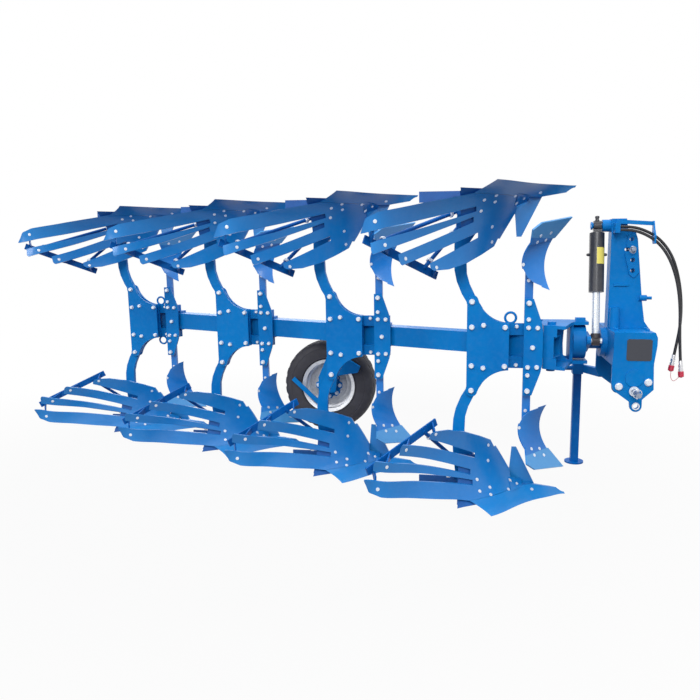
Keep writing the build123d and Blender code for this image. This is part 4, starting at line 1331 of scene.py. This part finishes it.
@dataclass
class Headstock:
    """Panel, pins, bushes and bolts on the hitch box."""

    stock: Stock
    cheek_y: float = 20.0
    far_cheek_y: float = 540.0
    panel: tuple[float, float, float, float] = (838.0, 970.0, -69.0, 50.0)
    panel_gap: float = 0.2
    panel_thick: float = 0.0022
    panel_corner: float = 0.006
    panel_steps: int = 4
    bolt: Fastener = Fastener(Head.HEXAGON, 0.032, 0.014, 0.041, 0.004, 0.010, 0.016)
    bolt_places: tuple[tuple[float, float], ...] = ((805.5, -213.0), (959.5, -187.0))
    outside_cheeks: tuple[float, float] = (-200.0, 760.0)
    small: Fastener = Fastener(Head.HEXAGON, 0.019, 0.010, 0.026, 0.002, 0.006, 0.011)
    small_x: tuple[float, ...] = (800.0, 966.0)
    small_y: tuple[float, ...] = (120.0, 174.0, 386.0, 440.0)
    above_box: float = 300.0
    link_pin: Place = (888.0, 225.0, 532.0)
    hitch_pin: tuple[float, float] = (885.0, -236.0)
    hitch_pin_radius: float = 26.0
    pin_ends: tuple[tuple[str, float, float, float], ...] = (
        ("right", -62.0, 8.0, -1.0), ("left", 622.0, 552.0, 1.0)
    )
    lug: tuple[float, float] = (900.0, -322.0)

    def top_link_pin(self) -> None:
        """Pin left in the second top link hole, with its washer and pull ring."""
        x, y, z = self.link_pin
        profile = [
            (0.0, -0.124), (0.0115, -0.122), (0.0122, -0.118), (0.0122, -0.001), (0.017, 0.0), (0.018, 0.001),
            (0.018, 0.004), (0.0125, 0.005), (0.0125, 0.014), (0.010, 0.017), (0.0, 0.018),
        ]
        turned_piece("top_link_pin", "headstock", row(x, y, z), RIGHT, profile, "pin_steel", self.stock)
        loop = circle_points(row(x - 4, y - 12, z - 6), Vector((0.35, -1, 0.45)), 0.019)
        wired("top_link_ring", "headstock", loop, 0.0022, "pin_steel", self.stock)

    def pin_keepers(self) -> None:
        """Linchpin with its sprung ring on each lower link pin, and its washer."""
        x, z = self.hitch_pin
        pin = [
            (0.0, 0.0), (0.006, 0.001), (0.007, 0.006), (0.005, 0.010), (0.005, 0.05), (0.003, 0.054),
            (0.0, 0.055),
        ]
        washer = [
            (0.0145, 0.0), (0.026, 0.0), (0.027, 0.001), (0.027, 0.004), (0.026, 0.005), (0.0145, 0.005),
        ]
        for side, pin_y, washer_y, out in self.pin_ends:
            top = row(x, pin_y, z + self.hitch_pin_radius)
            down = Vector((0, 0, -1))
            turned_piece(f"linchpin_{side}", "headstock", top, down, pin, "bolt_zinc", self.stock, 20)
            loop = circle_points(row(x, pin_y + out * 3, z + 2), Vector((0, 1, 0.12)), 0.025)
            wired(f"linchpin_ring_{side}", "headstock", loop, 0.0021, "bolt_zinc", self.stock)
            face = row(x, washer_y, z)
            way = Vector((0, out, 0))
            turned_piece(f"pin_washer_{side}", "headstock", face, way, washer, "bolt_zinc", self.stock)

    def lug_bushes(self) -> None:
        """Pressed steel bush in each lower lug."""
        x, z = self.lug
        flange = [(0.0142, 0.0), (0.0195, 0.0), (0.021, 0.0015), (0.021, 0.003), (0.0142, 0.003)]
        for side, y, out in (("right", self.cheek_y, -1.0), ("left", self.far_cheek_y, 1.0)):
            way = Vector((0, out, 0))
            turned_piece(f"lug_bush_{side}", "headstock", row(x, y, z), way, flange, "bolt_zinc", self.stock)

    def cover(self) -> None:
        """Thin dark panel with rounded corners on the near cheek."""
        x0, x1, z0, z1 = self.panel
        y = self.cheek_y - self.panel_gap
        form = bmesh.new()
        corners = [(x0, z0), (x1, z0), (x1, z1), (x0, z1)]
        face = form.faces.new([form.verts.new(row(x, y, z)) for x, z in corners])
        made = bmesh.ops.extrude_face_region(form, geom=[face])
        top = [v for v in made["geom"] if isinstance(v, bmesh.types.BMVert)]
        bmesh.ops.translate(form, verts=top, vec=Vector((0.0, -self.panel_thick, 0.0)))
        upright = [e for e in form.edges if abs((e.verts[0].co - e.verts[1].co).y) > self.panel_thick / 2]
        steps = self.panel_steps
        bmesh.ops.bevel(form, geom=upright, offset=self.panel_corner, segments=steps, affect="EDGES")
        bmesh.ops.recalc_face_normals(form, faces=form.faces)
        formed(form, "cheek_panel", "headstock", "panel_dark", self.stock)

    def build(self) -> None:
        """Make the panel, the bolts, the pins and the bushes."""
        self.cover()
        faces = Surfaces(["headstock"])
        seats = []
        near, far = self.outside_cheeks
        for x, z in self.bolt_places:
            seats += [faces.seat(row(x, near, z), LEFT), faces.seat(row(x, far, z), RIGHT)]
        planted("cheek_bolts", "headstock", seats, self.bolt, "bolt_zinc", 11, self.stock)
        starts = [row(x, y, self.above_box) for x in self.small_x for y in self.small_y]
        top = [faces.seat(start, Vector((0, 0, -1))) for start in starts]
        found = [seat for seat in top if seat]
        planted("box_bolts", "headstock", found, self.small, "blue_paint", 13, self.stock)
        self.top_link_pin()
        self.pin_keepers()
        self.lug_bushes()


@dataclass
class TurnoverCylinder:
    """Blank label, fittings and rod's end of the turnover cylinder."""

    stock: Stock
    pin: Place = (697.0, 280.0, 665.0)
    lean: float = 9.52
    barrel: float = 42.0
    label_along: tuple[float, float] = (128.0, 221.0)
    label_round: tuple[float, float] = (-8.0, 62.0)
    label_lifts: tuple[float, float] = (0.15, 0.5)
    label_steps: int = 14
    port_along: float = 165.0
    port_lift: float = 7.0
    port_depth: float = -10.0
    greaser_up: float = 0.026
    rod_eye_at: float = 0.65492
    rod_pin_ends: tuple[tuple[str, int, float], ...] = (("front", 1, 0.030), ("rear", -1, 0.026))

    def on_barrel(self, angle: float, along: float, lift: float) -> Vector:
        """Place on the barrel.

        Args:
            angle: Degrees from the near side towards the front.
            along: Millimetres down from the top pin.
            lift: Millimetres above the barrel's face.

        Returns:
            The place in the row frame.
        """
        x, y, z = self.pin
        lean, turn = math.radians(self.lean), math.radians(angle)
        out = (self.barrel + lift) * math.cos(turn)
        dx = (self.barrel + lift) * math.sin(turn)
        dy = -along * math.sin(lean) - out * math.cos(lean)
        dz = -along * math.cos(lean) + out * math.sin(lean)
        return row(x + dx, y + dy, z + dz)

    def axis(self, sign: int) -> Vector:
        """The cylinder's axis, 1 for up and -1 for down."""
        lean = math.radians(self.lean)
        return Vector((0.0, sign * math.sin(lean), sign * math.cos(lean)))

    def label(self) -> None:
        """Blank foil that wraps part of the barrel."""
        a0, a1 = self.label_round
        steps = self.label_steps
        angles = [a0 + (a1 - a0) * n / steps for n in range(steps + 1)]
        form = bmesh.new()
        rows = []
        for lift in self.label_lifts:
            for along in self.label_along:
                rows.append([form.verts.new(self.on_barrel(angle, along, lift)) for angle in angles])
        inner0, inner1, outer0, outer1 = rows
        for low, high in ((inner0, inner1), (inner1, outer1), (outer1, outer0), (outer0, inner0)):
            for n in range(steps):
                form.faces.new((low[n], low[n + 1], high[n + 1], high[n]))
        for n in (0, steps):
            form.faces.new((inner0[n], inner1[n], outer1[n], outer0[n]))
        bmesh.ops.recalc_face_normals(form, faces=form.faces)
        formed(form, "barrel_label", "cylinder_barrel", "label_yellow", self.stock)

    def fittings(self) -> None:
        """Plugs of the two ports, and the greaser above the eye."""
        body, paint = "cylinder_barrel", "barrel_paint"
        plug = [
            (0.0, -0.006), (0.0085, -0.006), (0.0085, 0.001), (0.007, 0.002), (0.007, 0.006), (0.004, 0.008),
            (0.0, 0.008),
        ]
        for side, angle in (("front", 90.0), ("rear", -90.0)):
            start = self.on_barrel(angle, self.port_along, self.port_lift)
            way = start - self.on_barrel(angle, self.port_along, self.port_depth)
            turned_piece(f"port_plug_{side}", body, start, way, plug, paint, self.stock, 24)
        up = self.axis(1)
        greaser = [
            (0.0, 0.0), (0.013, 0.0), (0.013, 0.006), (0.010, 0.008), (0.010, 0.016), (0.0125, 0.018),
            (0.0125, 0.027), (0.010, 0.029), (0.0, 0.029),
        ]
        start = row(*self.pin) + up * self.greaser_up
        turned_piece("eye_greaser", body, start, up, greaser, paint, self.stock, 24)

    def rod_end(self) -> None:
        """Dark casting of the rod's eye, over the eye and its neck, and the heads of its pin."""
        body, dark = "cylinder_rod", "casting_dark"
        down = self.axis(-1)
        eye = row(*self.pin) + down * self.rod_eye_at
        ring = [
            (0.0155, -0.0215), (0.0255, -0.0215), (0.0268, -0.020), (0.0268, 0.020), (0.0255, 0.0215),
            (0.0155, 0.0215),
        ]
        turned_piece("rod_eye", body, eye, Vector((1, 0, 0)), ring, dark, self.stock, 40)
        neck = [(0.0215, 0.012), (0.0268, 0.014), (0.0268, 0.040), (0.0258, 0.0415), (0.0215, 0.0415)]
        turned_piece("rod_neck", body, eye, -down, neck, dark, self.stock, 40)
        head = [(0.0, 0.0), (0.0155, 0.0), (0.0155, 0.004), (0.014, 0.006), (0.0, 0.006)]
        for side, way, along in self.rod_pin_ends:
            start = eye + Vector((way * along, 0, 0))
            out = Vector((way, 0, 0))
            turned_piece(f"rod_pin_{side}", body, start, out, head, "bolt_zinc", self.stock, 24)

    def build(self) -> None:
        """Make the label, the fittings and the rod's end."""
        self.label()
        self.fittings()
        self.rod_end()


class Groove(Enum):
    """Grooves that a point of the tyre's section can pass through."""

    NONE = "no groove"
    CROSS = "grooves across the shoulder"
    RING = "groove round the crown"


@dataclass
class DepthWheel:
    """Treaded tyre, hub plate and nuts of the depth wheel."""

    stock: Stock
    middle: Place = (-1022.0, 808.0, -411.0)
    width: float = 190.0
    radius: float = 325.0
    bead: float = 172.3
    rim: float = 190.0
    around: int = 168
    lug_pitch: int = 6
    groove_steps: int = 2
    groove: float = 5.0
    smooth_below: float = 28.0
    bolt: Fastener = Fastener(Head.NUT, 0.022, 0.012, 0.028, 0.002, 0.012, 0.019)
    bolts: int = 8
    bolt_circle: float = 78.0
    plate_radius: float = 95.0
    plate_notch: float = 13.0
    plate_bore: float = 42.0
    plate_near: float = 29.0
    plate_far: float = 40.2
    lobe_steps: int = 16
    lobe_power: float = 0.7
    behind: float = 300.0
    pivot_x: float = -940.0
    pivot_nut: Fastener = Fastener(Head.NUT, 0.046, 0.016, 0.056, 0.004, 0.026, 0.022)

    def about(self, angle: float, radius: float, across: float) -> Vector:
        """Place round the wheel's axle.

        Args:
            angle: Radians from straight ahead, upwards.
            radius: Millimetres from the axle.
            across: Millimetres left of the wheel's near side.

        Returns:
            The place in the row frame.
        """
        x, y, z = self.middle
        return row(x + radius * math.cos(angle), y + across, z + radius * math.sin(angle))

    def profile(self) -> list[tuple[float, float, Groove]]:
        """Half section of the tyre.

        Returns:
            Points as radius, distance across and the groove they pass through.
        """
        r, rim = self.radius, self.rim
        none, cross, ring = Groove.NONE, Groove.CROSS, Groove.RING
        return [
            (self.bead, 46.0, none), (self.bead, 23.0, none), (rim + 3, 15.0, none), (rim + 7, 7.0, none),
            (rim + 12, 3.5, none), (rim + 15, 5.0, none), (rim + 24, 2.2, none), (r - 78, 0.8, none),
            (r - 64, 0.8, none), (r - 61, 2.4, none), (r - 57, 2.4, none), (r - 54, 1.0, none),
            (r - 40, 3.0, none), (r - 26, 7.5, none), (r - 15, 15.0, cross), (r - 8, 24.0, cross),
            (r - 4, 33.0, cross), (r - 3.2, 42.0, cross), (r - 2.8, 45.0, ring), (r - 2.6, 50.0, ring),
            (r - 2.4, 53.0, none), (r - 1.6, 64.0, none), (r - 1.0, 72.0, none), (r - 0.9, 75.0, ring),
            (r - 0.8, 80.0, ring), (r - 0.6, 83.0, none), (r - 0.3, 92.0, none),
        ]

    def drop(self, n: int, kind: Groove) -> float:
        """Depth of the tread at a place round the tyre.

        Args:
            n: The place, counted in steps round the tyre.
            kind: The groove that the section's point passes through.

        Returns:
            The depth in millimetres.
        """
        crossed = kind is Groove.CROSS and n % self.lug_pitch < self.groove_steps
        return self.groove if crossed or kind is Groove.RING else 0.0

    def tyre(self) -> None:
        """Tyre with sidewall rings, cross grooves in its shoulders and grooves round its crown."""
        half = self.profile()
        near = [(radius, across, kind, 0) for radius, across, kind in half]
        turned = self.lug_pitch // 2
        far = [(radius, self.width - across, kind, turned) for radius, across, kind in reversed(half)]
        form = bmesh.new()
        rings = []
        for n in range(self.around):
            angle = 2.0 * math.pi * n / self.around
            section = [(r - self.drop(n + shift, kind), across) for r, across, kind, shift in near + far]
            rings.append([form.verts.new(self.about(angle, size, across)) for size, across in section])
        bridge(form, rings)
        piece = formed(form, "treaded_tyre", "wheel", "tyre_rubber", self.stock, self.smooth_below)
        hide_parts("tyre")

    def hub_plate(self) -> None:
        """Scalloped plate in front of the hub's flange, one lobe for each nut."""
        form = bmesh.new()
        steps = self.lobe_steps * self.bolts
        angles = [2.0 * math.pi * n / steps for n in range(steps)]
        waves = [max(0.0, -math.cos(self.bolts * angle)) ** self.lobe_power for angle in angles]
        edge = [self.plate_radius - self.plate_notch * wave for wave in waves]
        bore = [self.plate_bore] * steps
        near, far = self.plate_near, self.plate_far
        rings = []
        for sizes, across in ((edge, near), (edge, far), (bore, far), (bore, near)):
            rings.append([form.verts.new(self.about(a, size, across)) for a, size in zip(angles, sizes)])
        bridge(form, rings)
        formed(form, "hub_plate", "wheel", "blue_paint", self.stock)

    def nuts(self) -> None:
        """Wheel nuts on both sides, and the nut of the arm's pivot."""
        rim = Surfaces(["wheel_rim"])
        seats = []
        for n in range(self.bolts):
            angle = 2.0 * math.pi * n / self.bolts
            seats.append(Seat(self.about(angle, self.bolt_circle, self.plate_near), RIGHT))
            seats.append(rim.seat(self.about(angle, self.bolt_circle, self.behind), RIGHT))
        found = [seat for seat in seats if seat]
        planted("wheel_nuts", "wheel", found, self.bolt, "bolt_zinc", 17, self.stock)
        start = row(self.pivot_x, self.middle[1] + self.behind, 0.0)
        pivot = Surfaces(["wheel_pivot"]).seat(start, RIGHT)
        planted("pivot_nut", "frame", [pivot], self.pivot_nut, "bolt_zinc", 19, self.stock)

    def build(self) -> None:
        """Make the tyre, the hub plate and the nuts."""
        self.tyre()
        self.hub_plate()
        self.nuts()


class Plough:
    """The whole machine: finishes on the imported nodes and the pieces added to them."""

    def __init__(self) -> None:
        """Keep the finishes and the studio."""
        self.stock = Stock()
        self.studio = Studio()

    def dress(self) -> None:
        """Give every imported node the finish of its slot."""
        for name, node in frame["nodes"].items():
            slots = [place.material.name if place.material else "" for place in node.material_slots]
            finish = slots[0].split(".")[0] if slots else "blue_paint"
            node.data.materials.clear()
            node.data.materials.append(self.stock.get(finish))
            LOG.info("dressed %s in %s", name, finish)

    def build(self) -> None:
        """Make everything in order."""
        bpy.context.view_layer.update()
        self.studio.camera()
        self.dress()
        Hoses(self.stock).build()
        self.studio.build()
        Stations(self.stock).build()
        Headstock(self.stock).build()
        TurnoverCylinder(self.stock).build()
        DepthWheel(self.stock).build()
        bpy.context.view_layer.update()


def main() -> None:
    """Dress the plough."""
    logging.basicConfig(level=logging.INFO, format="%(name)s: %(message)s")
    Plough().build()


if __name__ == "__main__":
    main()
